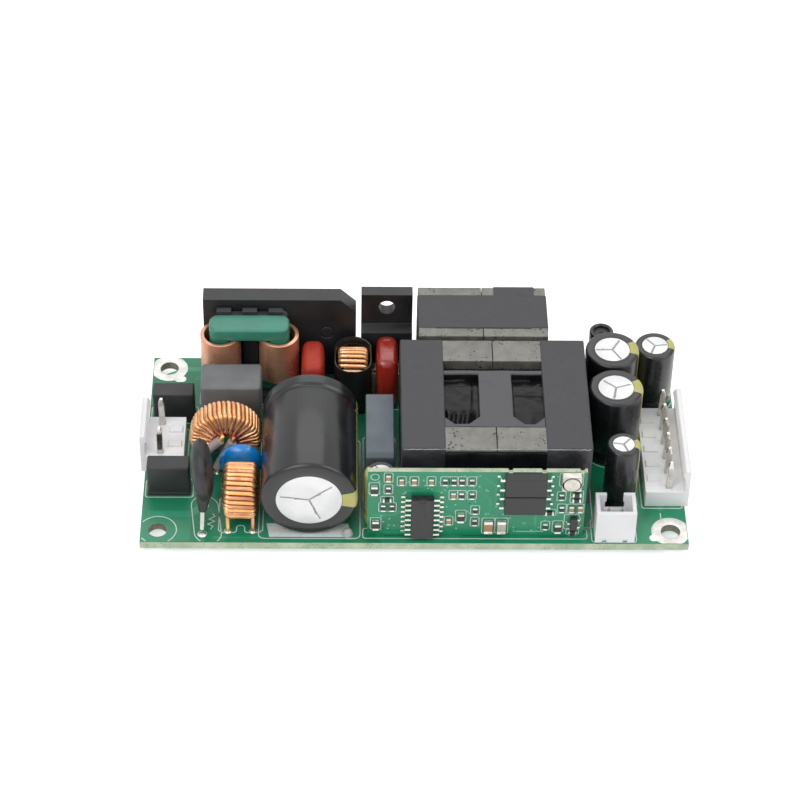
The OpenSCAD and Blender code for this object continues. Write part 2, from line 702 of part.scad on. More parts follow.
module bulk_place() {
    translate([bulk_x, bulk_front + bulk_l, bulk_z]) rotate([90, 0, 0]) children();
}
bulk_crimp = 3;
module bulk_capacitor_can() {
    color("silver") bulk_place() can(bulk_d, bulk_l, bulk_crimp, 5, 80);
}
module bulk_capacitor_sleeve() {
    color("black") bulk_place() cap_sleeve(bulk_d, bulk_l, bulk_crimp, 2.7);
}
module red_capacitor(x, y) {
    edge = 1.9;
    color("red") translate([x, y, bt]) intersection() {
        slab(film_w, film_l, film_h, edge);
        sideways(film_w + 1) translate([0, film_h / 2]) round_rect(film_l, film_h, edge);
    }
}
module red_capacitor_left() {
    red_capacitor(film_left_x, film_left_y);
}
module red_capacitor_right() {
    red_capacitor(film_right_x, film_right_y);
}
module grey_capacitor() {
    bevel = 0.8;
    color("slategray") translate([grey_x, grey_front, bt]) sideways(grey_w)
        polygon([[0, 0], [grey_l, 0], [grey_l, grey_cap_h - 0.3], [grey_l - 0.3, grey_cap_h],
            [bevel, grey_cap_h], [0, grey_cap_h - bevel]]);
}
module output_capacitor_rear_can() {
    color("silver") upright_can(0);
}
module output_capacitor_rear_sleeve() {
    color("black") upright_sleeve(0);
}
module output_capacitor_middle_can() {
    color("silver") upright_can(1);
}
module output_capacitor_middle_sleeve() {
    color("black") upright_sleeve(1);
}
module output_capacitor_side_can() {
    color("silver") upright_can(2);
}
module output_capacitor_side_sleeve() {
    color("black") upright_sleeve(2);
}
module output_capacitor_front_can() {
    color("silver") upright_can(3);
}
module output_capacitor_front_sleeve() {
    color("black") upright_sleeve(3);
}
module small_capacitor_can() {
    color("silver") upright_can(4);
}
module small_capacitor_sleeve() {
    color("black") upright_sleeve(4);
}

// ---------- sleeved chokes ----------

sleeved_c = [sleeved_x, sleeved_y, sleeved_z];
sleeved_turns = 14;
module sleeved_choke_core() {
    color("green") translate(sleeved_c) rotate([0, 90, 0]) ring_core(sleeved_core_d, small_id - 1, small_w);
}
module sleeved_choke_winding() {
    a = sleeved_leads[0];
    b = sleeved_leads[1];
    color("chocolate") wound(strand_ring(sleeved_c, "x", sleeved_core_d, small_id - 1, small_w, small_wire_d,
        false), 225, 270 / sleeved_turns, 0, 12 * sleeved_turns, foot(a), [foot(b)[1], foot(b)[0]], small_wire_d);
}
module sleeved_choke_sleeve() {
    color("black") translate([sleeved_x, sleeved_y, bt]) linear_extrude(sleeve_h) difference() {
        round_rect(sleeve_w, sleeve_l, sleeve_round);
        round_rect(sleeve_w - 2 * sleeve_t, sleeve_l - 2 * sleeve_t, sleeve_round - sleeve_t);
    }
}
rod_recess = 0.8;
module rod_choke_sleeve() {
    color("black") translate([rod_x, rod_y, bt]) difference() {
        cylinder(h = rod_h, d = rod_d);
        translate([0, 0, 0.6]) cylinder(h = rod_h, d = rod_d - 0.8);
        for (s = [-1, 1]) translate([s * 1.25, 0, -1]) cylinder(h = 3, d = rod_leads[0][2]);
    }
}
module rod_choke_core() {
    color("gray") translate([rod_x, rod_y, bt + 0.6]) cylinder(h = rod_h - 0.6 - rod_recess, d = rod_d - 0.8);
}

// ---------- transformers ----------

// Half of an E core with its seam at X = 0 and its back towards +X, from Z = 0 up
module e_half(l, w, h, back_t, leg, mid_w, mid_h, air) {
    half = l / 2;
    block([half - back_t / 2, 0, 0], [back_t, w, h]);
    for (s = [-1, 1])
        translate([0.05, s > 0 ? w / 2 - leg : -w / 2, 0]) cube([half - 0.05, leg, h]);
    translate([air, -mid_w / 2, (h - mid_h) / 2]) cube([half - air, mid_w, mid_h]);
}
module e_core(l, w, h, back_t, leg, mid_w, mid_h) {
    for (s = [0, 1]) mirror([s, 0, 0]) e_half(l, w, h, back_t, leg, mid_w, mid_h, 0.3);
}
core_h = bt + transformer_h - tape_t - core_z;
core_mid = core_h / 2;
spool_l = core_l - 2 * core_back;   // room between the backs of the core
spool_w = core_w - 2 * core_leg;    // room between its outer legs
tube_t = 0.8;
flange_t = 1;
module main_place() {
    translate([core_x, core_y, core_z]) children();
}
module transformer_core() {
    color("darkslategray") main_place()
        e_core(core_l, core_w, core_h, core_back, core_leg, core_centre_w, core_centre_h);
}
// Tube on the centre leg, a flange at each end and a pin rail under each flange
module spool(room_l, room_w, rail_out, rail_w, low, mid, mid_w, mid_h, up) {
    difference() {
        union() {
            block([0, 0, mid - mid_h / 2 - tube_t], [room_l - 2 * fit, mid_w + 2 * tube_t, mid_h + 2 * tube_t]);
            for (s = [-1, 1]) {
                block([s * (room_l / 2 - fit - flange_t / 2), 0, -0.1],
                    [flange_t, room_w - 2 * fit, mid + up + 0.1]);
                block([s * (room_l / 2 - fit - 1 + rail_out / 2), 0, -low], [rail_out + 2, rail_w, low]);
            }
        }
        block([0, 0, mid - mid_h / 2], [room_l + 9, mid_w, mid_h]);
    }
}
module transformer_bobbin() {
    rail_out = 4;       // how far the pin rails reach under the core's backs
    rail_w = core_w - 4;
    flange_drop = 1.4;  // from the core's top to the flanges' tops
    color("black") main_place() spool(spool_l, spool_w, rail_out, rail_w, core_z - bt, core_mid,
        core_centre_w, core_centre_h, core_mid - flange_drop);
}
pocket_l = 7;
module transformer_winding() {
    l = spool_l - 2 * flange_t - 2 * fit;
    top = core_h - 0.2;
    color("black") main_place() difference() {
        block([0, 0, 0.6], [l, spool_w - 0.6, top - 0.6]);
        block([0, 0, core_mid - core_centre_h / 2 - tube_t],
            [l + 1, core_centre_w + 2 * tube_t, core_centre_h + 2 * tube_t]);
        // two pockets with their front corners cut off
        for (s = [-1, 1]) translate([s * (spool_l / 2 - 1.4 - pocket_l / 2), 0, top - pocket_drop])
            linear_extrude(9) polygon([[-pocket_l / 2, 6.4], [pocket_l / 2, 6.4], [pocket_l / 2, -6.4],
                [pocket_l / 2 - 2, -8], [2 - pocket_l / 2, -8], [-pocket_l / 2, -6.4]]);
    }
}
// Tape round the two ends of the core
module end_cap(s, l, reach) {
    translate([s * (l / 2 - reach / 2 + tape_t / 2), 0, 0]) children();
}
module transformer_tape() {
    color("dimgray") main_place() difference() {
        union() {
            translate([-core_l / 2 - tape_t, -core_w / 2 - tape_t, -tape_t])
                cube([band_left + tape_t, core_w + 2 * tape_t, core_h + 2 * tape_t]);
            translate([core_l / 2 - band_right, -core_w / 2 - tape_t, -tape_t])
                cube([band_right + tape_t, core_w + 2 * tape_t, core_h + 2 * tape_t]);
        }
        block([0, 0, 0], [core_l, core_w, core_h]);
        // open underneath, where the pin rails are
        block([0, 0, -1], [core_l + 9, core_w + 9, 1.5]);
    }
}

inductor_core_h = bt + inductor_h - tape_t - inductor_z;
inductor_back = 3.2;
inductor_mid_w = 5;
inductor_mid_h = 5;
inductor_spool_l = inductor_l - 2 * inductor_back;
inductor_spool_w = inductor_w - 2 * inductor_leg;
module inductor_place() {
    translate([inductor_x, inductor_y, inductor_z]) children();
}
module rear_inductor_core() {
    color("darkslategray") inductor_place() e_core(inductor_l, inductor_w, inductor_core_h, inductor_back,
        inductor_leg, inductor_mid_w, inductor_mid_h);
}
module rear_inductor_bobbin() {
    color("black") inductor_place() spool(inductor_spool_l, inductor_spool_w, 2.6, inductor_w - 2,
        inductor_z - bt, inductor_core_h / 2, inductor_mid_w, inductor_mid_h, inductor_core_h / 2 - 0.6);
}
module rear_inductor_winding() {
    l = inductor_spool_l - 2 * flange_t - 2 * fit;
    color("black") inductor_place() difference() {
        block([0, 0, 0.8], [l, inductor_spool_w - 0.6, inductor_core_h - 1.2]);
        block([0, 0, (inductor_core_h - inductor_mid_h) / 2 - tube_t],
            [l + 1, inductor_mid_w + 2 * tube_t, inductor_mid_h + 2 * tube_t]);
    }
}
// Tape over the top and down both ends, with its loose end folded back
module rear_inductor_tape() {
    w = inductor_spool_w;
    color("dimgray") inductor_place() {
        difference() {
            block([0, 0, 0], [inductor_l + 2 * tape_t, w, inductor_core_h + tape_t]);
            block([0, 0, -1], [inductor_l, w + 1, inductor_core_h + 1]);
        }
        translate([2.3, w / 2 - 1, inductor_core_h]) cube([7.8, inductor_leg + 1.8, tape_t]);
    }
}

// ---------- control board ----------

module control_board() {
    color("seagreen") difference() {
        union() {
            translate([control_x - control_l / 2, control_y, bt]) cube([control_l, control_t, control_h]);
            for (x = tongues)
                translate([x - slot_l / 2, control_y, -0.6]) cube([slot_l, control_t, bt + 1]);
        }
        // half round contacts in the top edge
        for (x = [6, 12.1, 19.1])
            translate([control_x + x, control_y - 1, bt + control_h])
                rotate([-90, 0, 0]) cylinder(h = control_t + 2, d = 0.9);
    }
}

// Places on the control board are measured from its left end and from the main board's top
module on_control(x, z) {
    translate([control_x - control_l / 2 + x, control_y, bt + z]) children();
}
// Box on the front of the control board, centred on its place, standing off by gap
module chip_box(l, h, t, gap) {
    translate([-l / 2, -t - gap, -h / 2]) cube([l, t, h]);
}
chip_w = 4.1;
chip_l = 9.8;
chip_t = 1.5;
chip_gap = 0.15;
chip_at = [10.1, 5.7];
opto_w = 7.6;
opto_h = 4.4;
opto_t = 2;
opto_x = 28.8;
opto_z = [14.3, 9.7];
opto_pitch = 2.4;
sot_at = [38.05, 3.8];
module controller_chip() {
    color("black") on_control(chip_at[0], chip_at[1]) difference() {
        chip_box(chip_w, chip_l, chip_t, chip_gap);
        translate([0, -chip_t, chip_l / 2]) rotate([90, 0, 0]) cylinder(h = 1, r = 0.8);
    }
}
module optocouplers() {
    color("black") for (z = opto_z) on_control(opto_x, z) chip_box(opto_w, opto_h, opto_t, chip_gap);
}
// Gull-wing leg: from a body's side at X = 0, half way up its thickness, down to the board
module gull(reach, t, w) {
    s = 0.2;
    translate([0, 0, -w / 2]) linear_extrude(w) polygon([[0, -t], [0, -t - s], [reach / 2 + s, -t - s],
        [reach / 2 + s, -s], [reach, -s], [reach, 0], [reach / 2, 0], [reach / 2, -t]]);
}
module gull_row(n, pitch, at_x, reach, t, w) {
    for (i = [0:n - 1], s = [0, 1]) mirror([s, 0, 0])
        translate([at_x, 0, (i - (n - 1) / 2) * pitch]) gull(reach, t, w);
}

// Chip resistors and capacitors: [size, turned, places]; a size is length, width and thickness
small_chip = [1.6, 0.85, 0.5];
big_chip = [3.2, 1.6, 0.8];
upright_chips = [for (p = [[6.2, 14.1], [8.5, 14.1], [11.6, 14.1], [14.1, 14.1], [15.7, 14.1], [17.2, 14.1],
    [19, 14.1], [3.8, 15], [3.8, 12], [15.7, 10.6], [17.2, 10.6], [19.1, 10.6], [2.9, 7.4], [4.5, 7.4],
    [35.5, 10.4], [35.7, 7.2], [37.5, 7.2], [39.1, 7.2], [32.9, 2.7], [15, 3.9], [19.8, 6.7], [19.8, 3.7]])
    [small_chip, 90, p]];
lying_chips = [for (p = [[3.6, 9.4], [33.5, 6.2], [38.3, 11], [38.3, 9.5], [38, 1]]) [small_chip, 0, p]];
large_chips = [for (p = [[22.35, 2.7], [24.8, 2.7]]) [big_chip, 90, p]];
diodes = [for (p = [[1.25, 12.2], [17.2, 5.2], [35.2, 2.5], [1.55, 3.2]]) [[2.2, 1.2, 0.9], 90, p]];
chips = concat(upright_chips, lying_chips, large_chips, diodes);
cap_len = 0.22;         // share of a chip's length taken by each metal end
module each_chip() {
    for (c = chips) on_control(c[2][0], c[2][1]) rotate([0, c[1], 0]) {
        $size = c[0];
        children();
    }
}
module chip_parts() {
    color("tan") {
        each_chip() chip_box($size[0] * (1 - 2 * cap_len), $size[1], $size[2], 0);
        on_control(sot_at[0], sot_at[1]) chip_box(1.3, 2.9, 0.9, 0.1);
    }
}
module control_board_contacts() {
    color("silver") {
        each_chip() for (s = [-1, 1])
            translate([s * $size[0] * (1 - cap_len) / 2, 0, 0])
                chip_box($size[0] * cap_len, $size[1], $size[2], 0);
        on_control(chip_at[0], chip_at[1]) gull_row(8, 1.27, chip_w / 2, 1.9, chip_gap + chip_t / 2, 0.45);
        for (z = opto_z)
            on_control(opto_x, z) gull_row(2, opto_pitch, opto_w / 2, 1.4, chip_gap + opto_t / 2, 0.5);
        on_control(sot_at[0], sot_at[1]) {
            for (s = [-1, 1]) translate([0.65, 0, s * 0.95]) gull(0.7, 0.5, 0.4);
            mirror([1, 0, 0]) translate([0.65, 0, 0]) gull(0.7, 0.5, 0.4);
        }
    }
}

// Trimmer: a disc with a crossed slot that turns in a square body, on a short shaft
trimmer_at = [37.1, 14.7];
trimmer_body_t = 1.5;
trimmer_play = 0.05;
disc_t = 0.5;
shaft_d = 1;
shaft_l = 0.8;
module trimmer_axis(y) {
    rotate([90, 0, 0]) translate([0, 0, -y]) children();
}
module trimmer_body() {
    color("silver") on_control(trimmer_at[0], trimmer_at[1]) difference() {
        chip_box(trimmer_d + 0.6, trimmer_d + 0.6, trimmer_body_t, 0);
        trimmer_axis(-trimmer_body_t + disc_t - 0.1) cylinder(h = 2, d = trimmer_d + 2 * trimmer_play);
        trimmer_axis(-trimmer_body_t + disc_t + shaft_l - 0.1) cylinder(h = 2, d = shaft_d + 2 * trimmer_play);
    }
}
module trimmer_rotor() {
    slot_w = 0.35;
    seat = -trimmer_body_t + disc_t - 0.1;
    color("gainsboro") on_control(trimmer_at[0], trimmer_at[1]) {
        difference() {
            trimmer_axis(seat - trimmer_play) cylinder(h = disc_t, d = trimmer_d);
            for (a = [0, 90]) rotate([0, a + 20, 0])
                chip_box(trimmer_d * 0.7, slot_w, 0.3, trimmer_body_t - 0.25 + trimmer_play);
        }
        trimmer_axis(seat - trimmer_play + shaft_l) cylinder(h = shaft_l, d = shaft_d);
    }
}

// ---------- leads under the parts that hide them ----------

module component_leads() {
    color("silver") {
        leads(concat(fuse_front_leads, fuse_back_leads, line_cap_leads, film_left_leads, film_right_leads,
            grey_leads, core_pins, inductor_pins, cap_leads), bt);
        leads(varistor_leads, varistor_neck);
        leads(coil_leads, coil_z);
        leads(bridge_leads, bt + 0.4);
        leads(transistor_leads, bt + transistor_h - transistor_body_h);
        leads(rod_leads, bt + 0.6);
        // the reservoir capacitor's leads come out of its back face and bend down
        for (p = bulk_leads) {
            lead(p, bulk_z);
            translate([p[0], p[1], bulk_z]) sphere(d = p[2]);
            bar([p[0], p[1], bulk_z], [p[0], bulk_front + bulk_l, bulk_z], p[2] / 2);
        }
        // the thermistor's leads leave their necks at a slope
        for (s = [-1, 1]) {
            lead(thermistor_leads[s < 0 ? 0 : 1], lead_knee(s)[2]);
            translate(lead_knee(s)) sphere(d = thermistor_leads[0][2]);
            bar(lead_knee(s), neck_end(s), thermistor_leads[0][2] / 2);
        }
    }
}

main_board();
input_header();
input_pins();
output_header();
output_pins();
fan_header();
fan_pins();
fuse_front();
fuse_rear();
thermistor();
varistor();
line_capacitor();
filter_toroid_core();
filter_toroid_winding();
filter_toroid_sleeves();
small_toroid_core();
small_toroid_winding();
choke_core();
choke_coil_left();
choke_coil_right();
choke_carrier();
bridge_rectifier();
power_transistor();
bulk_capacitor_can();
bulk_capacitor_sleeve();
red_capacitor_left();
red_capacitor_right();
grey_capacitor();
small_capacitor_can();
small_capacitor_sleeve();
sleeved_choke_core();
sleeved_choke_winding();
sleeved_choke_sleeve();
rod_choke_core();
rod_choke_sleeve();
rear_inductor_core();
rear_inductor_bobbin();
rear_inductor_winding();
rear_inductor_tape();
transformer_core();
transformer_bobbin();
transformer_winding();
transformer_tape();
output_capacitor_rear_can();
output_capacitor_rear_sleeve();
output_capacitor_middle_can();
output_capacitor_middle_sleeve();
output_capacitor_side_can();
output_capacitor_side_sleeve();
output_capacitor_front_can();
output_capacitor_front_sleeve();
control_board();
controller_chip();
optocouplers();
trimmer_body();
trimmer_rotor();
chip_parts();
control_board_contacts();
component_leads();
solder_joints();
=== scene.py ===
"""Looks of an open-frame power supply on a 4 by 2 inch board.

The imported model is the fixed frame. Each class below dresses one sub-assembly: it reads the
place of its parts from the frame, works out finer surfaces with numpy and gives them finishes.
Shapes are in millimetres until they become pieces, which are in metres. +X runs to the output
side, +Y to the back edge and +Z up.
"""
from __future__ import annotations

import logging
import math
from dataclasses import dataclass, field
from enum import Enum

import bmesh
import bpy
import numpy as np
from mathutils import Matrix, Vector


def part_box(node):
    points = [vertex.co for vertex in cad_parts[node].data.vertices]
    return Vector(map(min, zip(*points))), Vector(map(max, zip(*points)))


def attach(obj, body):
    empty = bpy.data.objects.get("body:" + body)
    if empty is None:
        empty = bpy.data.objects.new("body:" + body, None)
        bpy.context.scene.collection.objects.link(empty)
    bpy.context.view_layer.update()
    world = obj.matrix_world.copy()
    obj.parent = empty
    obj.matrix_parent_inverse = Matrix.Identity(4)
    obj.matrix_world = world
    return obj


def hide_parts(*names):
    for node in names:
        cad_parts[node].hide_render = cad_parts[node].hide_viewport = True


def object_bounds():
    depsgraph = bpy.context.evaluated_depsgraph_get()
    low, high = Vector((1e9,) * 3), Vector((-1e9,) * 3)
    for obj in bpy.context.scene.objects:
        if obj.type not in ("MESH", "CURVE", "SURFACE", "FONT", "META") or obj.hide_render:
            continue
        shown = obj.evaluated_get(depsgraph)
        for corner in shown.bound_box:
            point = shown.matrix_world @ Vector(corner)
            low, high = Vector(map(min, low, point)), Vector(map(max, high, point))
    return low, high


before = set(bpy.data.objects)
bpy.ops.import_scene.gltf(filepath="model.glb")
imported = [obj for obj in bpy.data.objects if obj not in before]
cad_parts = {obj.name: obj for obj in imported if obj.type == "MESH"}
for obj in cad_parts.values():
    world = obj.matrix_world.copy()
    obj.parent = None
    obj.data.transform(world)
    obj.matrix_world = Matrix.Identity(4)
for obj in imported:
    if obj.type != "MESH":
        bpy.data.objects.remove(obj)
CAD_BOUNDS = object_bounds()
LOG = logging.getLogger("power_supply")
SUPPLY = "supply"
MM = 0.001
Vec = tuple[float, float, float]
Face = tuple[int, ...]


# ---------------------------------------------------------------- shapes

@dataclass
class Shape:
    """Points and faces of a surface, before it becomes a piece."""

    points: np.ndarray
    faces: list[Face]

    def __add__(self, other: "Shape") -> "Shape":
        """Both surfaces side by side in one."""
        shift = len(self.points)
        moved = [tuple(i + shift for i in f) for f in other.faces]
        return Shape(np.vstack([self.points, other.points]), self.faces + moved)

    def placed(self, at: Vec, axes: np.ndarray | None = None) -> "Shape":
        """The surface turned by a 3 by 3 matrix of axes and then moved.

        Args:
            at: Where the origin goes.
            axes: Rows are the directions that X, Y and Z turn to.

        Returns:
            The moved surface.
        """
        points = self.points if axes is None else self.points @ np.asarray(axes, float)
        return Shape(points + np.asarray(at, float), self.faces)


def joined(shapes: list[Shape]) -> Shape:
    """One surface made of many."""
    counts = np.cumsum([0] + [len(s.points) for s in shapes])
    faces = [tuple(i + int(c) for i in f) for s, c in zip(shapes, counts) for f in s.faces]
    return Shape(np.vstack([s.points for s in shapes]), faces)


def lattice(points: np.ndarray, wrap_rows: bool = False, wrap_cols: bool = True,
            caps: bool = True) -> Shape:
    """Surface through a grid of points, one row after another.

    Args:
        points: Array of rows by columns by 3.
        wrap_rows: Whether the last row joins the first.
        wrap_cols: Whether the last column joins the first.
        caps: Whether the first and last rows are closed by a face.

    Returns:
        The surface, its faces turned outwards when columns run anticlockwise about the rows.
    """
    rows, cols = points.shape[:2]
    r = np.arange(rows if wrap_rows else rows - 1)[:, None]
    c = np.arange(cols if wrap_cols else cols - 1)[None, :]
    r1, c1 = (r + 1) % rows, (c + 1) % cols
    quads = np.stack([r * cols + c, r * cols + c1, r1 * cols + c1, r1 * cols + c], -1)
    faces = [tuple(q) for q in quads.reshape(-1, 4).tolist()]
    if caps and wrap_cols and not wrap_rows:
        faces.append(tuple(range(cols - 1, -1, -1)))
        faces.append(tuple(range((rows - 1) * cols, rows * cols)))
    return Shape(points.reshape(-1, 3), faces)


def unit(v: np.ndarray) -> np.ndarray:
    """Vectors scaled to length one along the last axis."""
    v = np.asarray(v, float)
    return v / np.maximum(np.linalg.norm(v, axis=-1, keepdims=True), 1e-12)


def tube(path: np.ndarray, radius: float | np.ndarray, side: np.ndarray, sides: int = 10,
         flat: float = 1.0) -> Shape:
    """Round bar carried along a path.

    At each point a circle stands across the path's direction, which is the difference of its
    neighbours; the circle starts from the cross product of the side vector and that direction.

    Args:
        path: Points along the bar, n by 3.
        radius: One radius, or one for each point.
        side: A vector, or one for each point, never along the path.
        sides: Points round the bar.
        flat: Height over width of the section.

    Returns:
        The closed surface.
    """
    path = np.asarray(path, float)
    along = unit(np.gradient(path, axis=0))
    u = unit(np.cross(np.broadcast_to(side, path.shape), along))
    v = np.cross(along, u)
    a = np.linspace(0, 2 * math.pi, sides, endpoint=False)[None, :, None]
    r = np.broadcast_to(radius, len(path))[:, None, None]
    ring = np.cos(a) * u[:, None] + flat * np.sin(a) * v[:, None]
    return lattice(path[:, None] + r * ring)


def smooth_path(knots: list[Vec] | np.ndarray, steps: int = 8) -> np.ndarray:
    """Curve through knots: between two knots, the cubic that keeps their neighbours' slope."""
    k = np.asarray(knots, float)
    k = np.vstack([2 * k[0] - k[1], k, 2 * k[-1] - k[-2]])
    t = np.linspace(0, 1, steps, endpoint=False)[None, :, None]
    p0, p1, p2, p3 = (k[i:len(k) - 3 + i, None] for i in range(4))
    curve = 0.5 * (2 * p1 + (p2 - p0) * t + (2 * p0 - 5 * p1 + 4 * p2 - p3) * t ** 2
                   + (3 * p1 - p0 - 3 * p2 + p3) * t ** 3)
    return np.vstack([curve.reshape(-1, 3), k[-2]])


def revolved(profile: list[tuple[float, float]] | np.ndarray, sides: int = 48) -> Shape:
    """Profile of radius and height turned about Z, closed at both ends."""
    p = np.asarray(profile, float)
    p[:, 0] = np.maximum(p[:, 0], 2e-3)
    a = np.linspace(0, 2 * math.pi, sides, endpoint=False)[None, :]
    r, z = p[:, :1], p[:, 1:]
    points = np.stack([r * np.cos(a), r * np.sin(a), np.broadcast_to(z, (len(p), sides))], -1)
    return lattice(points)


def arc(centre: tuple[float, float], radius: float, start: float, end: float,
        steps: int = 5) -> list[tuple[float, float]]:
    """Points on an arc, its angles in degrees."""
    a = np.radians(np.linspace(start, end, steps))
    return [(centre[0] + radius * math.cos(t), centre[1] + radius * math.sin(t)) for t in a]


def rounded_loop(half_x: float, half_y: float, radius: float, steps: int = 4) -> np.ndarray:
    """Anticlockwise rectangle with four arcs for corners, as an array of X and Y."""
    r = max(min(radius, half_x, half_y), 1e-3)
    loop: list[tuple[float, float]] = []
    for i, (sx, sy) in enumerate(((1, 1), (-1, 1), (-1, -1), (1, -1))):
        loop += arc((sx * (half_x - r), sy * (half_y - r)), r, 90 * i, 90 * i + 90, steps)
    return np.array(loop)


def cushion_box(lo: np.ndarray, hi: np.ndarray, corner: float, top: float = 0.0,
                bottom: float = 0.0, steps: int = 4) -> Shape:
    """Box with round upright corners and round top and bottom edges.

    Rounded rectangles are stacked from the bottom to the top; near each end they shrink by one
    minus the sine of the arc while they rise by its cosine.

    Args:
        lo: Lowest corner.
        hi: Highest corner.
        corner: Radius of the upright corners.
        top: Radius of the top edge.
        bottom: Radius of the bottom edge.
        steps: Points on each arc.

    Returns:
        The closed surface.
    """
    lo, hi = np.asarray(lo, float), np.asarray(hi, float)
    half, mid = (hi - lo) / 2, (hi + lo) / 2
    a = np.linspace(0, math.pi / 2, steps + 1)
    levels = [(lo[2] + bottom * (1 - math.sin(t)), bottom * (1 - math.cos(t))) for t in a[::-1]]
    levels += [(hi[2] - top * (1 - math.sin(t)), top * (1 - math.cos(t))) for t in a]
    rows = []
    for z, inset in levels:
        loop = rounded_loop(half[0] - inset, half[1] - inset, max(corner - inset, corner * 0.3), steps)
        rows.append(np.column_stack([loop + mid[:2], np.full(len(loop), z)]))
    return lattice(np.array(rows))


def ribbon(path: np.ndarray, width: float, z: float, thick: float, closed: bool = False) -> Shape:
    """Flat strip along a path in X and Y, with mitred corners.

    Each side is the path moved half the width along the mean of its two edge normals.

    Args:
        path: Points in X and Y.
        width: Width of the strip.
        z: Height of its underside.
        thick: Thickness.
        closed: Whether the last point joins the first.

    Returns:
        The closed strip.
    """
    p = np.asarray(path, float)
    nxt = np.roll(p, -1, 0) - p
    prv = p - np.roll(p, 1, 0)
    if not closed:
        nxt[-1], prv[0] = prv[-1], nxt[0]
    n1 = unit(np.stack([-nxt[:, 1], nxt[:, 0]], -1))
    n0 = unit(np.stack([-prv[:, 1], prv[:, 0]], -1))
    mean = unit(n0 + n1)
    reach = width / 2 / np.maximum((mean * n1).sum(-1, keepdims=True), 0.4)
    left, right = p + mean * reach, p - mean * reach
    rows = np.stack([np.column_stack([s, np.full(len(p), h)])
                     for s, h in ((right, z), (left, z), (left, z + thick), (right, z + thick))], 1)
    return lattice(rows[:, ::-1], wrap_rows=closed)


def plate(outline: np.ndarray, depth: float, edge: float) -> Shape:
    """Outline in X and Y raised along Z, its rims cut back by edge.

    The outline runs anticlockwise; each point moves in along the mean of its edge normals.

    Args:
        outline: Points in X and Y.
        depth: Thickness along Z.
        edge: Width of the small bevel on both rims.

    Returns:
        The closed surface.
    """
    p = np.asarray(outline, float)
    nxt = unit(np.roll(p, -1, 0) - p)
    prv = unit(p - np.roll(p, 1, 0))
    n = np.stack([-(nxt + prv)[:, 1], (nxt + prv)[:, 0]], -1) / 2
    n = n / np.maximum((n ** 2).sum(-1, keepdims=True), 0.3)
    inner = p + n * edge
    rows = [(inner, 0.0), (p, edge), (p, depth - edge), (inner, depth)]
    return lattice(np.array([np.column_stack([o, np.full(len(o), z)]) for o, z in rows]))


FRONTWARD = np.array([[1, 0, 0], [0, 0, 1], [0, -1, 0]], float)   # X stays, Y turns up, Z to -Y


# ---------------------------------------------------------------- pieces

def make_piece(name: str, shape: Shape, material: bpy.types.Material,
               replaces: tuple[str, ...] = (), smooth: float = 40.0) -> bpy.types.Object:
    """Turns a surface into a piece that rides on the supply.

    Args:
        name: Name of the piece.
        shape: Its surface.
        material: Its material.
        replaces: CAD nodes that it stands for.
        smooth: Angle in degrees up to which edges are shaded smooth.

    Returns:
        The new object.
    """
    mesh = bpy.data.meshes.new(name)
    mesh.from_pydata((shape.points * MM).tolist(), [], shape.faces)
    mesh.validate()
    mesh.polygons.foreach_set("use_smooth", [True] * len(mesh.polygons))
    mesh.set_sharp_from_angle(angle=math.radians(smooth))
    mesh.materials.append(material)
    return settle(bpy.data.objects.new(name, mesh), replaces)


def settle(piece: bpy.types.Object, replaces: tuple[str, ...]) -> bpy.types.Object:
    """Links a piece, rides it on the supply and logs it."""
    bpy.context.scene.collection.objects.link(piece)
    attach(piece, SUPPLY)
    if replaces:
        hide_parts(*replaces)
    LOG.info("piece %s: %d faces", piece.name, len(piece.data.polygons))
    return piece


def bevelled_copy(node: str, width: float, material: bpy.types.Material,
                  segments: int = 2) -> bpy.types.Object:
    """A CAD node's own mesh, merged into flat faces, with its sharp edges rounded.

    Args:
        node: The CAD node, which the copy replaces.
        width: Width of the rounding in millimetres.
        material: Material of the copy.
        segments: Steps in the rounding.

    Returns:
        The new object.
    """
    work = bmesh.new()
    work.from_mesh(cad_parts[node].data)
    bmesh.ops.remove_doubles(work, verts=work.verts, dist=1e-6)
    bmesh.ops.dissolve_limit(work, angle_limit=math.radians(1.5), verts=work.verts, edges=work.edges)
    mesh = bpy.data.meshes.new(node + "_rounded")
    work.to_mesh(mesh)
    work.free()
    mesh.materials.clear()
    mesh.materials.append(material)
    mesh.polygons.foreach_set("use_smooth", [True] * len(mesh.polygons))
    mesh.set_sharp_from_angle(angle=math.radians(35))
    piece = bpy.data.objects.new(node + "_rounded", mesh)
    bevel = piece.modifiers.new("rounding", "BEVEL")
    bevel.width = width * MM
    bevel.segments = segments
    bevel.limit_method = "ANGLE"
    bevel.angle_limit = math.radians(35)
    bevel.harden_normals = True
    return settle(piece, (node,))


def dress_node(node: str, material: bpy.types.Material) -> None:
    """Gives a CAD node that stays its material."""
    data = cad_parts[node].data
    data.materials.clear()
    data.materials.append(material)


def node_box(node: str) -> tuple[np.ndarray, np.ndarray]:
    """Lowest and highest corners of a CAD node in millimetres."""
    lo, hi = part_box(node)
    return np.array(lo, float) / MM, np.array(hi, float) / MM


def islands(node: str) -> list[tuple[np.ndarray, np.ndarray]]:
    """Boxes of a node's separate solids in millimetres, from the left front on."""
    work = bmesh.new()
    work.from_mesh(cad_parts[node].data)
    bmesh.ops.remove_doubles(work, verts=work.verts, dist=1e-6)
    left = set(work.verts)
    boxes = []
    while left:
        stack = [left.pop()]
        found = list(stack)
        while stack:
            for edge in stack.pop().link_edges:
                for vert in edge.verts:
                    if vert in left:
                        left.discard(vert)
                        stack.append(vert)
                        found.append(vert)
        points = np.array([tuple(v.co) for v in found]) / MM
        boxes.append((points.min(0), points.max(0)))
    work.free()
    return sorted(boxes, key=lambda b: (round(float(b[0][0]), 1), round(float(b[0][1]), 1)))


# ---------------------------------------------------------------- finishes

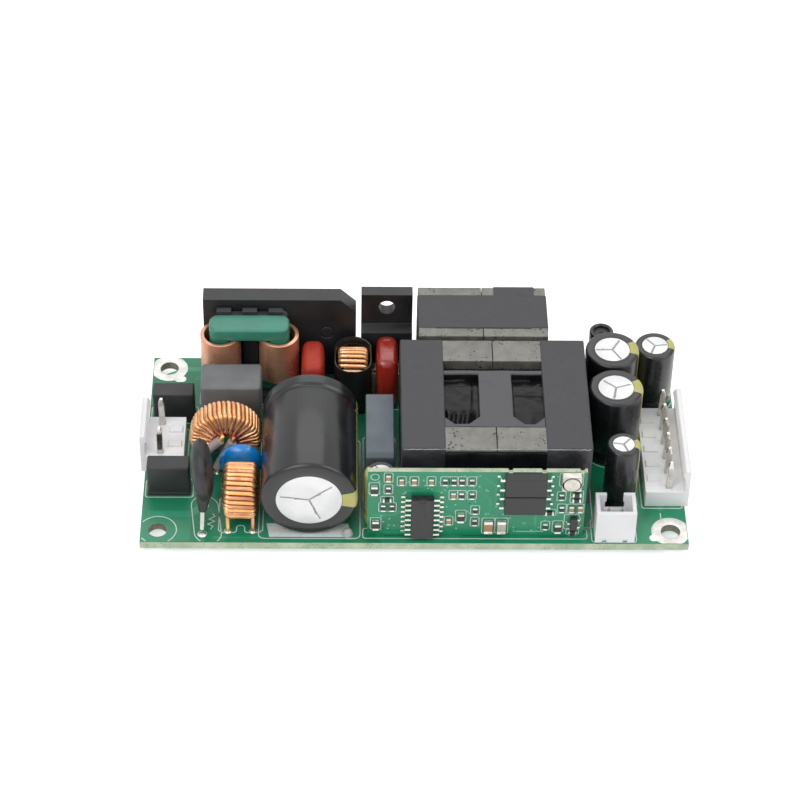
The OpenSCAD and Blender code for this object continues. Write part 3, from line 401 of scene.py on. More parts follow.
@dataclass(frozen=True)
class Finish:
    """Look of one material; scales are waves per metre."""

    name: str
    colour: Vec
    second: Vec | None = None
    patch: float = 70.0
    rough: tuple[float, float] = (0.4, 0.5)
    metallic: float = 0.0
    coat: float = 0.0
    coat_rough: float = 0.08
    grain: float = 2500.0
    bump: float = 0.15
    waves: float = 0.0
    wave_scale: float = 250.0
    specks: Vec | None = None
    speck_scale: float = 1400.0
    speck_amount: float = 0.25
    glow_through: float = 0.0
    shine: float = 0.5


BOARD = Finish("board", (0.004, 0.20, 0.085), (0.012, 0.27, 0.13), 55, (0.28, 0.4), bump=0.05, waves=0.2)
FR4 = Finish("board_edge", (0.42, 0.52, 0.36), (0.62, 0.66, 0.50), 420, (0.6, 0.8), bump=0.6,
             specks=(0.20, 0.30, 0.17), speck_scale=2200, speck_amount=0.3)
SILK = Finish("silk_print", (0.80, 0.84, 0.82), (0.70, 0.76, 0.73), 900, (0.5, 0.65), bump=0.2)
TRACE = Finish("covered_trace", (0.025, 0.30, 0.16), (0.04, 0.36, 0.20), 300, (0.28, 0.36), bump=0.05)
NYLON = Finish("nylon", (0.90, 0.90, 0.91), (0.84, 0.84, 0.86), 110, (0.35, 0.45), bump=0.08,
               glow_through=0.25)
TIN = Finish("tin", (0.74, 0.72, 0.69), (0.60, 0.57, 0.53), 500, (0.18, 0.34), 1.0, bump=0.2)
PAD = Finish("tinned_pad", (0.84, 0.83, 0.81), (0.70, 0.67, 0.63), 700, (0.36, 0.5), 0.6, bump=0.4,
             waves=0.12, wave_scale=700, specks=(0.36, 0.28, 0.20), speck_scale=500, speck_amount=0.14)
FUSE = Finish("fuse_case", (0.020, 0.021, 0.023), (0.030, 0.031, 0.033), 260, (0.42, 0.55), bump=0.25)
THERMISTOR = Finish("black_coating", (0.010, 0.011, 0.012), (0.034, 0.034, 0.037), 420, (0.38, 0.6),
                    bump=0.5, waves=0.5, wave_scale=420, specks=(0.22, 0.22, 0.23), speck_scale=900,
                    speck_amount=0.06)
VARISTOR = Finish("blue_coating", (0.003, 0.24, 0.70), (0.006, 0.30, 0.80), 260, (0.16, 0.26), coat=0.6,
                  bump=0.05, waves=0.5, wave_scale=320)
GREY_CASE = Finish("grey_case", (0.165, 0.17, 0.175), (0.14, 0.144, 0.15), 240, (0.45, 0.58), bump=0.35)
SLATE = Finish("slate_case", (0.13, 0.16, 0.185), (0.112, 0.14, 0.162), 160, (0.38, 0.5), bump=0.25)
GREEN_CORE = Finish("green_core", (0.025, 0.20, 0.135), (0.04, 0.25, 0.17), 200, (0.32, 0.44), coat=0.2,
                    bump=0.2, waves=0.12, wave_scale=420)
YELLOW_WIRE = Finish("yellow_wire", (0.98, 0.56, 0.20), (0.86, 0.44, 0.13), 380, (0.22, 0.34), 0.55,
                     coat=0.5, bump=0.05)
COPPER_WIRE = Finish("copper_wire", (0.84, 0.42, 0.24), (0.55, 0.20, 0.10), 380, (0.22, 0.36), 0.75,
                     coat=0.5, bump=0.05)
ORANGE_WIRE = Finish("orange_wire", (0.98, 0.56, 0.28), (0.84, 0.40, 0.16), 380, (0.22, 0.34), 0.6,
                     coat=0.5, bump=0.05)
FLAT_COPPER = Finish("flat_copper", (0.80, 0.44, 0.29), (0.64, 0.29, 0.17), 160, (0.26, 0.38), 0.65,
                     coat=0.3, bump=0.12)
BARREL = Finish("hole_wall", (0.24, 0.26, 0.19), (0.16, 0.17, 0.12), 600, (0.4, 0.6), 0.3, bump=0.4)
# Darker grey for the faces deep in the can's pressed grooves: painted shade in the grooves.
PAINTED_GROOVE_SHADE = Finish("can_groove_painted_shade", (0.34, 0.34, 0.35), (0.28, 0.28, 0.29), 400, (0.4, 0.5), 0.5, bump=0.1)
WIRE_SLEEVE = Finish("wire_sleeve", (0.42, 0.34, 0.32), (0.50, 0.42, 0.40), 500, (0.35, 0.5), coat=0.2,
                     bump=0.1)
CARRIER = Finish("carrier", (0.035, 0.040, 0.043), (0.05, 0.054, 0.057), 260, (0.45, 0.6), bump=0.4)
BLACK_EPOXY = Finish("black_epoxy", (0.017, 0.017, 0.018), (0.026, 0.026, 0.028), 170, (0.36, 0.52),
                     bump=0.45, grain=3200)
BLACK_PLASTIC = Finish("black_plastic", (0.012, 0.012, 0.013), (0.02, 0.02, 0.021), 200, (0.35, 0.5),
                       bump=0.2)
CAN = Finish("can_top", (0.78, 0.78, 0.78), (0.69, 0.69, 0.70), 240, (0.34, 0.5), 0.55, bump=0.25,
             specks=(0.45, 0.44, 0.44), speck_scale=600, speck_amount=0.08)
SLEEVE = Finish("black_sleeve", (0.009, 0.0095, 0.011), (0.014, 0.015, 0.017), 120, (0.24, 0.34), coat=0.15,
                bump=0.06, waves=0.35, wave_scale=130)
STRIPE = Finish("yellow_stripe", (0.42, 0.42, 0.10), (0.52, 0.50, 0.16), 240, (0.28, 0.4), bump=0.06)
RED_MATTE = Finish("red_matte", (0.36, 0.018, 0.006), (0.43, 0.028, 0.010), 260, (0.42, 0.55), bump=0.4,
                   waves=0.4, wave_scale=300)
RED_GLOSS = Finish("red_gloss", (0.36, 0.018, 0.010), (0.44, 0.03, 0.014), 220, (0.2, 0.3), coat=0.6,
                   bump=0.1, waves=0.5, wave_scale=260)
FERRITE = Finish("ferrite", (0.15, 0.147, 0.132), (0.21, 0.206, 0.188), 500, (0.3, 0.42), 0.35, bump=0.4,
                 specks=(0.035, 0.035, 0.035), speck_scale=1300, speck_amount=0.32)
TAPE = Finish("dark_tape", (0.024, 0.023, 0.028), (0.040, 0.039, 0.046), 240, (0.36, 0.52), bump=0.35,
              waves=0.55, wave_scale=420, specks=(0.022, 0.022, 0.025), speck_scale=520, speck_amount=0.12)
COVER = Finish("winding_cover", (0.026, 0.026, 0.031), (0.038, 0.038, 0.045), 180, (0.26, 0.4), coat=0.2,
               bump=0.2, waves=0.5, wave_scale=260)
FILM = Finish("glossy_film", (0.006, 0.006, 0.007), (0.011, 0.011, 0.013), 300, (0.16, 0.26), bump=0.05,
              waves=0.6, wave_scale=300, shine=0.2)
TRIM = Finish("trimmer_metal", (0.66, 0.63, 0.57), (0.54, 0.51, 0.46), 900, (0.3, 0.42), 0.7, bump=0.2)
VIA = Finish("via", (0.20, 0.50, 0.36), (0.30, 0.58, 0.46), 900, (0.4, 0.5), bump=0.1)
CLEAR_TAPE = Finish("frayed_tape", (0.46, 0.47, 0.48), (0.24, 0.25, 0.26), 900, (0.3, 0.5), bump=0.4)
GLUE = Finish("glue", (0.42, 0.43, 0.43), (0.50, 0.51, 0.51), 400, (0.15, 0.3), glow_through=0.5)
CHIP_BLACK = Finish("chip_black", (0.022, 0.021, 0.022), (0.032, 0.031, 0.032), 700, (0.42, 0.6),
                    bump=0.6, grain=5000)
CHIP_TAN = Finish("chip_tan", (0.40, 0.215, 0.095), (0.47, 0.27, 0.13), 900, (0.35, 0.5), bump=0.2)
CHIP_PALE = Finish("chip_pale", (0.50, 0.42, 0.36), (0.58, 0.50, 0.44), 900, (0.35, 0.5), bump=0.2)
SOLDER = Finish("solder", (0.82, 0.80, 0.77), (0.66, 0.62, 0.57), 800, (0.2, 0.32), 0.9, bump=0.1,
                waves=0.15, wave_scale=900)


class Tree:
    """Adds nodes to a node tree and links them."""

    def __init__(self, tree: bpy.types.NodeTree) -> None:
        self.tree = tree

    def add(self, kind: str, inputs: dict | None = None, **settings) -> bpy.types.Node:
        """Adds a node; an input that is a socket is linked, any other is set."""
        node = self.tree.nodes.new(kind)
        for key, value in settings.items():
            setattr(node, key, value)
        for key, value in (inputs or {}).items():
            if isinstance(value, bpy.types.NodeSocket):
                self.tree.links.new(value, node.inputs[key])
            else:
                node.inputs[key].default_value = value
        return node

    def maths(self, operation: str, *values) -> bpy.types.NodeSocket:
        """One sum of sockets or numbers."""
        node = self.add("ShaderNodeMath", dict(enumerate(values)), operation=operation)
        return node.outputs[0]

    def mix(self, factor, first, second) -> bpy.types.NodeSocket:
        """Two colours mixed."""
        colours = [c if isinstance(c, bpy.types.NodeSocket) else (*c, 1.0) for c in (first, second)]
        node = self.add("ShaderNodeMix", {0: factor, 6: colours[0], 7: colours[1]}, data_type="RGBA")
        return node.outputs[2]

    def spread(self, value, low: float, high: float, to_low=0.0, to_high=1.0) -> bpy.types.NodeSocket:
        """A value stretched from one range to another and clamped."""
        node = self.add("ShaderNodeMapRange", {0: value, 1: low, 2: high, 3: to_low, 4: to_high})
        return node.outputs[0]


def new_group(name: str, inputs: dict[str, float], outputs: dict[str, str]) -> tuple:
    """A shared node group with number inputs.

    Args:
        name: Name of the group.
        inputs: Names and defaults of the inputs.
        outputs: Names and socket kinds of the outputs.

    Returns:
        The group, its tree helper, its input node and its output node.
    """
    group = bpy.data.node_groups.new(name, "ShaderNodeTree")
    for key, value in inputs.items():
        socket = group.interface.new_socket(key, in_out="INPUT", socket_type="NodeSocketFloat")
        socket.default_value = value
    for key, kind in outputs.items():
        group.interface.new_socket(key, in_out="OUTPUT", socket_type=kind)
    tree = Tree(group)
    return group, tree, tree.add("NodeGroupInput"), tree.add("NodeGroupOutput")


def grain_group() -> bpy.types.NodeTree:
    """Patches and a relief of fine grain on long waves, shared by every finish."""
    group, tree, source, target = new_group(
        "Grain", {"Patch Scale": 70, "Grain Scale": 2500, "Bump": 0.15, "Waves": 0, "Wave Scale": 250},
        {"Patch": "NodeSocketFloat", "Normal": "NodeSocketVector"})
    place = tree.add("ShaderNodeTexCoord").outputs["Object"]
    patch = tree.add("ShaderNodeTexNoise",
                     {"Vector": place, "Scale": source.outputs["Patch Scale"], "Detail": 4.0})
    grain = tree.add("ShaderNodeTexNoise",
                     {"Vector": place, "Scale": source.outputs["Grain Scale"], "Detail": 2.0})
    waves = tree.add("ShaderNodeTexNoise",
                     {"Vector": place, "Scale": source.outputs["Wave Scale"], "Detail": 1.0})
    fine = tree.add("ShaderNodeBump", {"Height": grain.outputs[0], "Strength": source.outputs["Bump"],
                                       "Distance": 0.00004})
    wide = tree.add("ShaderNodeBump", {"Height": waves.outputs[0], "Strength": source.outputs["Waves"],
                                       "Distance": 0.0006, "Normal": fine.outputs[0]})
    tree.tree.links.new(tree.spread(patch.outputs[0], 0.36, 0.64), target.inputs["Patch"])
    tree.tree.links.new(wide.outputs[0], target.inputs["Normal"])
    return group


def specks_group() -> bpy.types.NodeTree:
    """Mask of small uneven specks, denser in some patches."""
    group, tree, source, target = new_group("Specks", {"Scale": 1400, "Amount": 0.25},
                                            {"Mask": "NodeSocketFloat"})
    place = tree.add("ShaderNodeTexCoord").outputs["Object"]
    cells = tree.add("ShaderNodeTexVoronoi", {"Vector": place, "Scale": source.outputs["Scale"]})
    cloud = tree.add("ShaderNodeTexNoise", {"Vector": place, "Scale": 260.0, "Detail": 3.0})
    reach = tree.maths("MULTIPLY", source.outputs["Amount"], tree.spread(cloud.outputs[0], 0.35, 0.62))
    gap = tree.maths("SUBTRACT", reach, cells.outputs["Distance"])
    tree.tree.links.new(tree.spread(gap, 0.0, 0.05), target.inputs["Mask"])
    return group


class Paints:
    """Makes each finish's material once."""

    def __init__(self) -> None:
        self.grain = grain_group()
        self.specks = specks_group()
        self.made: dict[str, bpy.types.Material] = {}

    def blank(self, name: str) -> tuple[bpy.types.Material, Tree, bpy.types.Node]:
        """A new material with its tree helper and its Principled BSDF."""
        material = bpy.data.materials.new(name)
        material.use_nodes = True
        return material, Tree(material.node_tree), material.node_tree.nodes["Principled BSDF"]

    def looks(self, tree: Tree, f: Finish) -> dict[str, bpy.types.NodeSocket]:
        """Colour, roughness and normal of a finish, in a material's tree."""
        grain = tree.add("ShaderNodeGroup", node_tree=self.grain)
        for key, value in (("Patch Scale", f.patch), ("Grain Scale", f.grain), ("Bump", f.bump),
                           ("Waves", f.waves), ("Wave Scale", f.wave_scale)):
            grain.inputs[key].default_value = value
        patch = grain.outputs["Patch"]
        colour = tree.mix(patch, f.colour, f.second or f.colour)
        if f.specks:
            specks = tree.add("ShaderNodeGroup", node_tree=self.specks)
            specks.inputs["Scale"].default_value = f.speck_scale
            specks.inputs["Amount"].default_value = f.speck_amount
            colour = tree.mix(specks.outputs["Mask"], colour, f.specks)
        return {"Base Color": colour, "Roughness": tree.spread(patch, 0.0, 1.0, *f.rough),
                "Normal": grain.outputs["Normal"]}

    def __call__(self, f: Finish) -> bpy.types.Material:
        """Material of a finish."""
        if f.name not in self.made:
            material, tree, shader = self.blank(f.name)
            for key, socket in self.looks(tree, f).items():
                tree.tree.links.new(socket, shader.inputs[key])
            shader.inputs["Metallic"].default_value = f.metallic
            shader.inputs["Coat Weight"].default_value = f.coat
            shader.inputs["Coat Roughness"].default_value = f.coat_rough
            shader.inputs["Specular IOR Level"].default_value = f.shine
            if f.glow_through:
                shader.inputs["Subsurface Weight"].default_value = f.glow_through
                shader.inputs["Subsurface Scale"].default_value = 0.0015
            self.made[f.name] = material
        return self.made[f.name]

    def board(self, name: str, axis: int) -> bpy.types.Material:
        """Solder mask on the faces across an axis, bare laminate on the edges.

        Args:
            name: Name of the material.
            axis: 1 for faces that look along Y, 2 for faces that look along Z.
        """
        material, tree, shader = self.blank(name)
        mask, edge = self.looks(tree, BOARD), self.looks(tree, FR4)
        place = tree.add("ShaderNodeTexCoord").outputs["Object"]
        pours = tree.add("ShaderNodeTexVoronoi", {"Vector": place, "Scale": 95.0}, distance="CHEBYCHEV")
        tone = tree.add("ShaderNodeSeparateColor", {0: pours.outputs["Color"]}).outputs[0]
        green = tree.mix(tree.spread(tone, 0.45, 0.5, 0.0, 0.55), mask["Base Color"], TRACE.colour)
        normal = tree.add("ShaderNodeNewGeometry").outputs["True Normal"]
        along = tree.add("ShaderNodeSeparateXYZ", {0: normal}).outputs[axis]
        flat = tree.spread(tree.maths("ABSOLUTE", along), 0.6, 0.7)
        tree.tree.links.new(tree.mix(flat, edge["Base Color"], green), shader.inputs["Base Color"])
        rough = tree.spread(flat, 0.0, 1.0, 0.75, 0.34)
        tree.tree.links.new(rough, shader.inputs["Roughness"])
        tree.tree.links.new(mask["Normal"], shader.inputs["Normal"])
        return material


PAINT = Paints()


# ---------------------------------------------------------------- board and headers

@dataclass
class PrintSizes:
    """Lengths of what is printed or plated on the boards."""

    silk_w: float = 0.18
    silk_t: float = 0.012
    pad_reach: float = 0.45
    pad_t: float = 0.03
    hole_r: float = 1.8
    hole_pad_r: float = 3.6
    ring_r: float = 3.5


class MainBoard:
    """The board, its printed outlines, its pads and its solder."""

    def __init__(self, sizes: PrintSizes = PrintSizes()) -> None:
        self.s = sizes
        self.lo, self.hi = node_box("main_board")
        self.top = float(self.hi[2])
        self.inset = 3.175

    def corner(self, x: int, y: int) -> np.ndarray:
        """Centre of a mounting hole, each side given as -1 or 1."""
        return np.array([(self.lo[0], self.hi[0])[x > 0] - x * self.inset,
                         (self.lo[1], self.hi[1])[y > 0] - y * self.inset])

    def outline(self, points: list, closed: bool = True) -> Shape:
        """Printed line through points in X and Y, left out where it would pass the board's edges."""
        points = np.array(points, float)
        edge = self.s.silk_w
        inside = ((points > self.lo[:2] + edge) & (points < self.hi[:2] - edge)).all(1)
        if inside.all():
            return ribbon(points, self.s.silk_w, self.top, self.s.silk_t, closed)
        start = -int(np.argmin(inside))
        points, inside = np.roll(points, start, 0), np.roll(inside, start)
        cuts = np.flatnonzero(np.diff(inside.astype(int))) + 1
        runs = [run for run, kept in zip(np.split(points, cuts), np.split(inside, cuts))
                if kept[0] and len(run) > 1]
        return joined([ribbon(run, self.s.silk_w, self.top, self.s.silk_t, False) for run in runs])

    def around(self, node: str, margin: float, corner: float = 0.5) -> Shape:
        """Printed rectangle round a node."""
        lo, hi = node_box(node)
        half, mid = (hi - lo)[:2] / 2 + margin, (hi + lo)[:2] / 2
        reach = np.minimum(mid + half, self.hi[:2] - 0.4) - np.maximum(mid - half, self.lo[:2] + 0.4)
        mid = (np.minimum(mid + half, self.hi[:2] - 0.4) + np.maximum(mid - half, self.lo[:2] + 0.4)) / 2
        return self.outline(rounded_loop(reach[0] / 2, reach[1] / 2, corner, 3) + mid)

    def washer(self, centre: np.ndarray, inner: float, outer: float, height: float) -> Shape:
        """Flat ring on the board."""
        a = np.linspace(0, 2 * math.pi, 49)[:-1]
        rows = [(inner, self.top - 0.3), (outer, self.top - 0.3), (outer, self.top + height * 0.7),
                (outer - height, self.top + height), (inner + height, self.top + height),
                (inner, self.top + height * 0.7)]
        grid = np.array([np.column_stack([centre[0] + r * np.cos(a), centre[1] + r * np.sin(a),
                                          np.full(48, z)]) for r, z in rows])
        grid[..., :2] = np.clip(grid[..., :2], self.lo[:2] + 0.12, self.hi[:2] - 0.12)
        return lattice(grid, wrap_rows=True)

    def prints(self) -> Shape:
        """Every printed outline."""
        lo, hi = node_box("thermistor")
        foot = np.array([(lo[0] + hi[0]) / 2 + 0.5, self.lo[1] + 5.95])
        pill = rounded_loop(2.5, 6.1, 2.5, 8) @ np.array([[1, 0], [-0.12, 1]]) + foot
        zigzag = [(0.9, -2.6), (1.3, -1.7), (0.3, -1.2), (1.6, -0.5), (0.5, 0.1), (1.6, 0.8), (1.1, 1.5)]
        lo, hi = node_box("small_toroid_winding")
        mid = (lo + hi) / 2
        key = [(-3.5, -4.6), (-1.1, -4.6), (-0.75, -4.2), (-0.75, -3.2), (-0.4, -2.8), (0.4, -2.8),
               (0.75, -3.2), (0.75, -4.2), (1.1, -4.6), (3.5, -4.6), (4.1, -4), (4.1, 4), (3.5, 4.6),
               (-3.5, 4.6), (-4.1, 4), (-4.1, -4)]
        a = np.linspace(0, 2 * math.pi, 41)[:-1]
        ring = np.column_stack([np.cos(a), np.sin(a)])
        tick_x = self.hi[0] - 4.7
        parts = [self.around(n, m) for n, m in (
            ("fuse_front", 0.45), ("fuse_rear", 0.45), ("line_capacitor", 0.5), ("input_header", 0.5),
            ("output_header", 0.5), ("fan_header", 0.45), ("control_board", 0.8),
            ("choke_carrier", 0.4), ("grey_capacitor", 0.4), ("transformer_core", 1.2))]
        lo, hi = node_box("bulk_capacitor_sleeve")
        bulk = rounded_loop((hi[0] - lo[0]) / 2 + 0.4, (hi[1] - lo[1]) / 2 + 0.9, 1.0) + (lo + hi)[:2] / 2
        parts.append(self.outline(bulk))
        parts += [self.outline(pill), self.outline(np.array(zigzag) + foot, False),
                  self.outline(np.array(key) + mid[:2] + (0, -0.5)),
                  self.outline(ring * self.s.ring_r + self.corner(-1, -1)),
                  self.outline([(tick_x, self.lo[1] + 6.6), (tick_x, self.lo[1] + 8.0)], False)]
        for node in ("output_capacitor_rear_sleeve", "output_capacitor_middle_sleeve",
                     "output_capacitor_side_sleeve", "output_capacitor_front_sleeve"):
            lo, hi = node_box(node)
            parts.append(self.outline(ring * ((hi[0] - lo[0]) / 2 + 0.35) + (lo + hi)[:2] / 2))
        return joined(parts)

    def print_block(self) -> Shape:
        """White printed field under the front of the large capacitor."""
        lo, hi = node_box("bulk_capacitor_sleeve")
        left, right, y = lo[0] + 1.6, hi[0] - 1.8, lo[1]
        points = [(left, y - 0.5), (right + 0.6, y - 0.5), (right, y + 3), (left - 0.6, y + 3)]
        return plate(np.array(points), self.s.silk_t, 0.002).placed((0, 0, self.top))

    def lead_places(self) -> list[tuple[np.ndarray, float]]:
        """Middle and reach of every lead, from the solder under the board."""
        return [((lo + hi) / 2, float(min(hi[0] - lo[0], hi[1] - lo[1])) / 2)
                for lo, hi in islands("solder_joints")]

    def pads(self) -> Shape:
        """Tinned rings round the leads and wide ones round the mounting holes."""
        rings = [self.washer(c[:2], max(r - 0.55, 0.3), r - 0.5 + self.s.pad_reach, self.s.pad_t)
                 for c, r in self.lead_places()]
        for x, y in ((-1, 1), (1, -1), (1, 1)):
            rings.append(self.washer(self.corner(x, y), self.s.hole_r + 0.02, self.s.hole_pad_r, 0.05))
        for x, y, dx, dy in ((-1, 1, 2.3, -3.1), (1, -1, -2.9, -1.7)):
            blob = rounded_loop(1.15, 0.8, 0.7) + self.corner(x, y) + (dx, dy)
            rings.append(plate(blob, 0.07, 0.02).placed((0, 0, self.top)))
        return joined(rings)

    def barrels(self) -> Shape:
        """Plated walls of the mounting holes."""
        a = np.linspace(0, 2 * math.pi, 49)[:-1]
        tubes = []
        for x, y in ((-1, -1), (-1, 1), (1, -1), (1, 1)):
            c = self.corner(x, y)
            rows = [(self.s.hole_r - 0.05, 0.02), (self.s.hole_r + 0.1, 0.02),
                    (self.s.hole_r + 0.1, self.top + 0.02), (self.s.hole_r - 0.05, self.top + 0.02)]
            grid = np.array([np.column_stack([c[0] + r * np.cos(a), c[1] + r * np.sin(a),
                                              np.full(48, z)]) for r, z in rows])
            tubes.append(lattice(grid, wrap_rows=True))
        return joined(tubes)

    def traces(self) -> Shape:
        """Wide copper under the mask, seen as low steps between the parts."""
        x0, y0 = self.lo[0], self.lo[1]
        runs = [([(1.2, 7.4), (9, 7.4), (11.2, 9.4), (11.2, 22)], 1.6), ([(24, 1.2), (40, 1.2)], 0.7),
                ([(13.5, 1.3), (23, 1.3)], 0.5), ([(21.3, 12), (21.3, 21)], 1.1),
                ([(2, 45), (7, 47.5), (9.6, 47.5)], 1.3), ([(84, 2.2), (79, 2.2)], 0.8),
                ([(94.5, 16), (92.6, 14), (92.6, 9.5)], 1.2), ([(97, 12), (97, 8.6)], 1.0)]
        return joined([ribbon(np.array(p) + (x0, y0), w, self.top, 0.008) for p, w in runs])

    def solder_fillets(self) -> Shape:
        """Small cones of solder that rise on the leads above the board."""
        cones = []
        for c, r in self.lead_places():
            reach = max(r - 0.1, 0.35)
            profile = [(reach, 0), (reach * 0.8, 0.12), (reach * 0.62, 0.3), (reach * 0.52, 0.55),
                       (0.05, 0.6)]
            cones.append(revolved(profile, 16).placed((c[0], c[1], self.top + 0.01)))
        return joined(cones)

    def build(self) -> None:
        """Makes the pieces."""
        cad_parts["main_board"].data.materials.clear()
        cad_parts["main_board"].data.materials.append(PAINT.board("main_board_finish", 2))
        make_piece("board_print", self.prints(), PAINT(SILK))
        make_piece("board_print_block", self.print_block(), PAINT(SILK))
        make_piece("board_traces", self.traces(), PAINT(TRACE))
        make_piece("board_pads", self.pads(), PAINT(PAD))
        make_piece("board_barrels", self.barrels(), PAINT(BARREL))
        make_piece("lead_fillets", self.solder_fillets(), PAINT(SOLDER))
        dress_node("solder_joints", PAINT(SOLDER))
        dress_node("component_leads", PAINT(TIN))


class Headers:
    """The three white headers and their pins."""

    def build(self) -> None:
        """Makes the pieces."""
        for node in ("input_header", "output_header", "fan_header"):
            bevelled_copy(node, 0.14, PAINT(NYLON))
        for node, width in (("input_pins", 0.1), ("output_pins", 0.1), ("fan_pins", 0.07)):
            bevelled_copy(node, width, PAINT(TIN))


# ---------------------------------------------------------------- mains side

@dataclass
class MainsSizes:
    """Roundings of the parts at the mains side."""

    fuse_edge: float = 0.35
    case_edge: float = 0.7


class MainsSide:
    """Fuses, thermistor, varistor and mains filter capacitor."""

    def __init__(self, sizes: MainsSizes = MainsSizes()) -> None:
        self.s = sizes
        self.board = node_box("main_board")

    def fuse(self, node: str) -> None:
        """Moulded case with a shallow lip round its foot."""
        lo, hi = node_box(node)
        body = cushion_box(lo + (0.08, 0.08, 0.5), hi - (0.08, 0.08, 0), self.s.fuse_edge, self.s.fuse_edge)
        foot = cushion_box(lo, np.array([hi[0], hi[1], lo[2] + 0.7]), self.s.fuse_edge, 0.12)
        make_piece(node + "_case", body + foot, PAINT(FUSE), (node,))

    def dipped(self, node: str, half: float, turn: float, lean: float, centre: Vec, radius: float,
               axis: str) -> Shape:
        """Lens-shaped dipped disc: half thickness falls from the middle to the rim as a root."""
        r = np.linspace(0, 1, 15)
        h = half * np.sqrt(np.maximum(1 - r ** 3.2, 0))
        profile = [(radius * a, -b) for a, b in zip(r, h)]
        profile += [(radius * a, b) for a, b in zip(r[::-1], h[::-1])][1:]
        disc = revolved(profile, 56)
        a, t = math.radians(lean), math.radians(turn)
        if axis == "x":
            normal = np.array([math.cos(a) * math.cos(t), math.cos(a) * math.sin(t), math.sin(a)])
        else:
            normal = np.array([0.0, -1.0, 0.0])
        u = unit(np.cross([0, 0, 1], normal))
        return disc.placed(centre, np.array([u, np.cross(normal, u), normal]))

    def thermistor(self) -> None:
        """Leaning black disc with a neck running down each lead."""
        lo, hi = node_box("thermistor")
        mid = (lo + hi) / 2
        radius = (hi[1] - lo[1]) / 2 - 0.03
        centre = np.array([mid[0], mid[1], hi[2] - radius - 0.03])
        shape = self.dipped("thermistor", 1.8, 2, 6, tuple(centre), radius, "x")
        for s in (-1, 1):
            root = centre + (0.2, 2.6 * s - 0.6, -3.4)
            knee = np.array([self.board[0][0] + 11.5, FOOT_Y + 3.75 * s, self.board[1][2] + 1.5])
            path = np.linspace(root, root + 3.15 * unit(knee - root), 12)
            radii = 0.62 + 0.75 * np.linspace(1, 0, len(path)) ** 0.8
            shape = shape + tube(path, radii, np.array([1.0, 0, 0.1]), 14)
        make_piece("thermistor_body", shape, PAINT(THERMISTOR), ("thermistor",))

    def varistor(self) -> None:
        """Glossy blue disc across the board, with coated necks."""
        lo, hi = node_box("varistor")
        mid = (lo + hi) / 2
        radius = (hi[0] - lo[0]) / 2
        centre = (mid[0], mid[1], hi[2] - radius)
        shape = self.dipped("varistor", (hi[1] - lo[1]) / 2, 0, 0, centre, radius, "y")
        for s in (-1, 1):
            path = smooth_path([(mid[0] + 2.2 * s, mid[1], centre[2] - 2.6),
                                (mid[0] + 2.5 * s, mid[1], lo[2] + 1),
                                (mid[0] + 2.5 * s, mid[1], lo[2] + 0.02)], 6)
            shape = shape + tube(path, np.linspace(0.95, 0.5, len(path)), np.array([0, 1.0, 0]), 12)
        make_piece("varistor_body", shape, PAINT(VARISTOR), ("varistor",))

    def line_capacitor(self) -> None:
        """Moulded grey case with a fill line round its foot."""
        lo, hi = node_box("line_capacitor")
        body = cushion_box(lo + (0, 0, 0.8), hi, self.s.case_edge, self.s.case_edge * 0.8, 0.1)
        foot = cushion_box(lo + (0.12, 0.12, 0), np.array([hi[0] - 0.12, hi[1] - 0.12, lo[2] + 1]), 0.5)
        make_piece("line_capacitor_case", body + foot, PAINT(GREY_CASE), ("line_capacitor",))

    def build(self) -> None:
        """Makes the pieces."""
        self.fuse("fuse_front")
        self.fuse("fuse_rear")
        self.thermistor()
        self.varistor()
        self.line_capacitor()


FOOT_Y = float(node_box("main_board")[0][1]) + 5.95


# ---------------------------------------------------------------- toroids and chokes

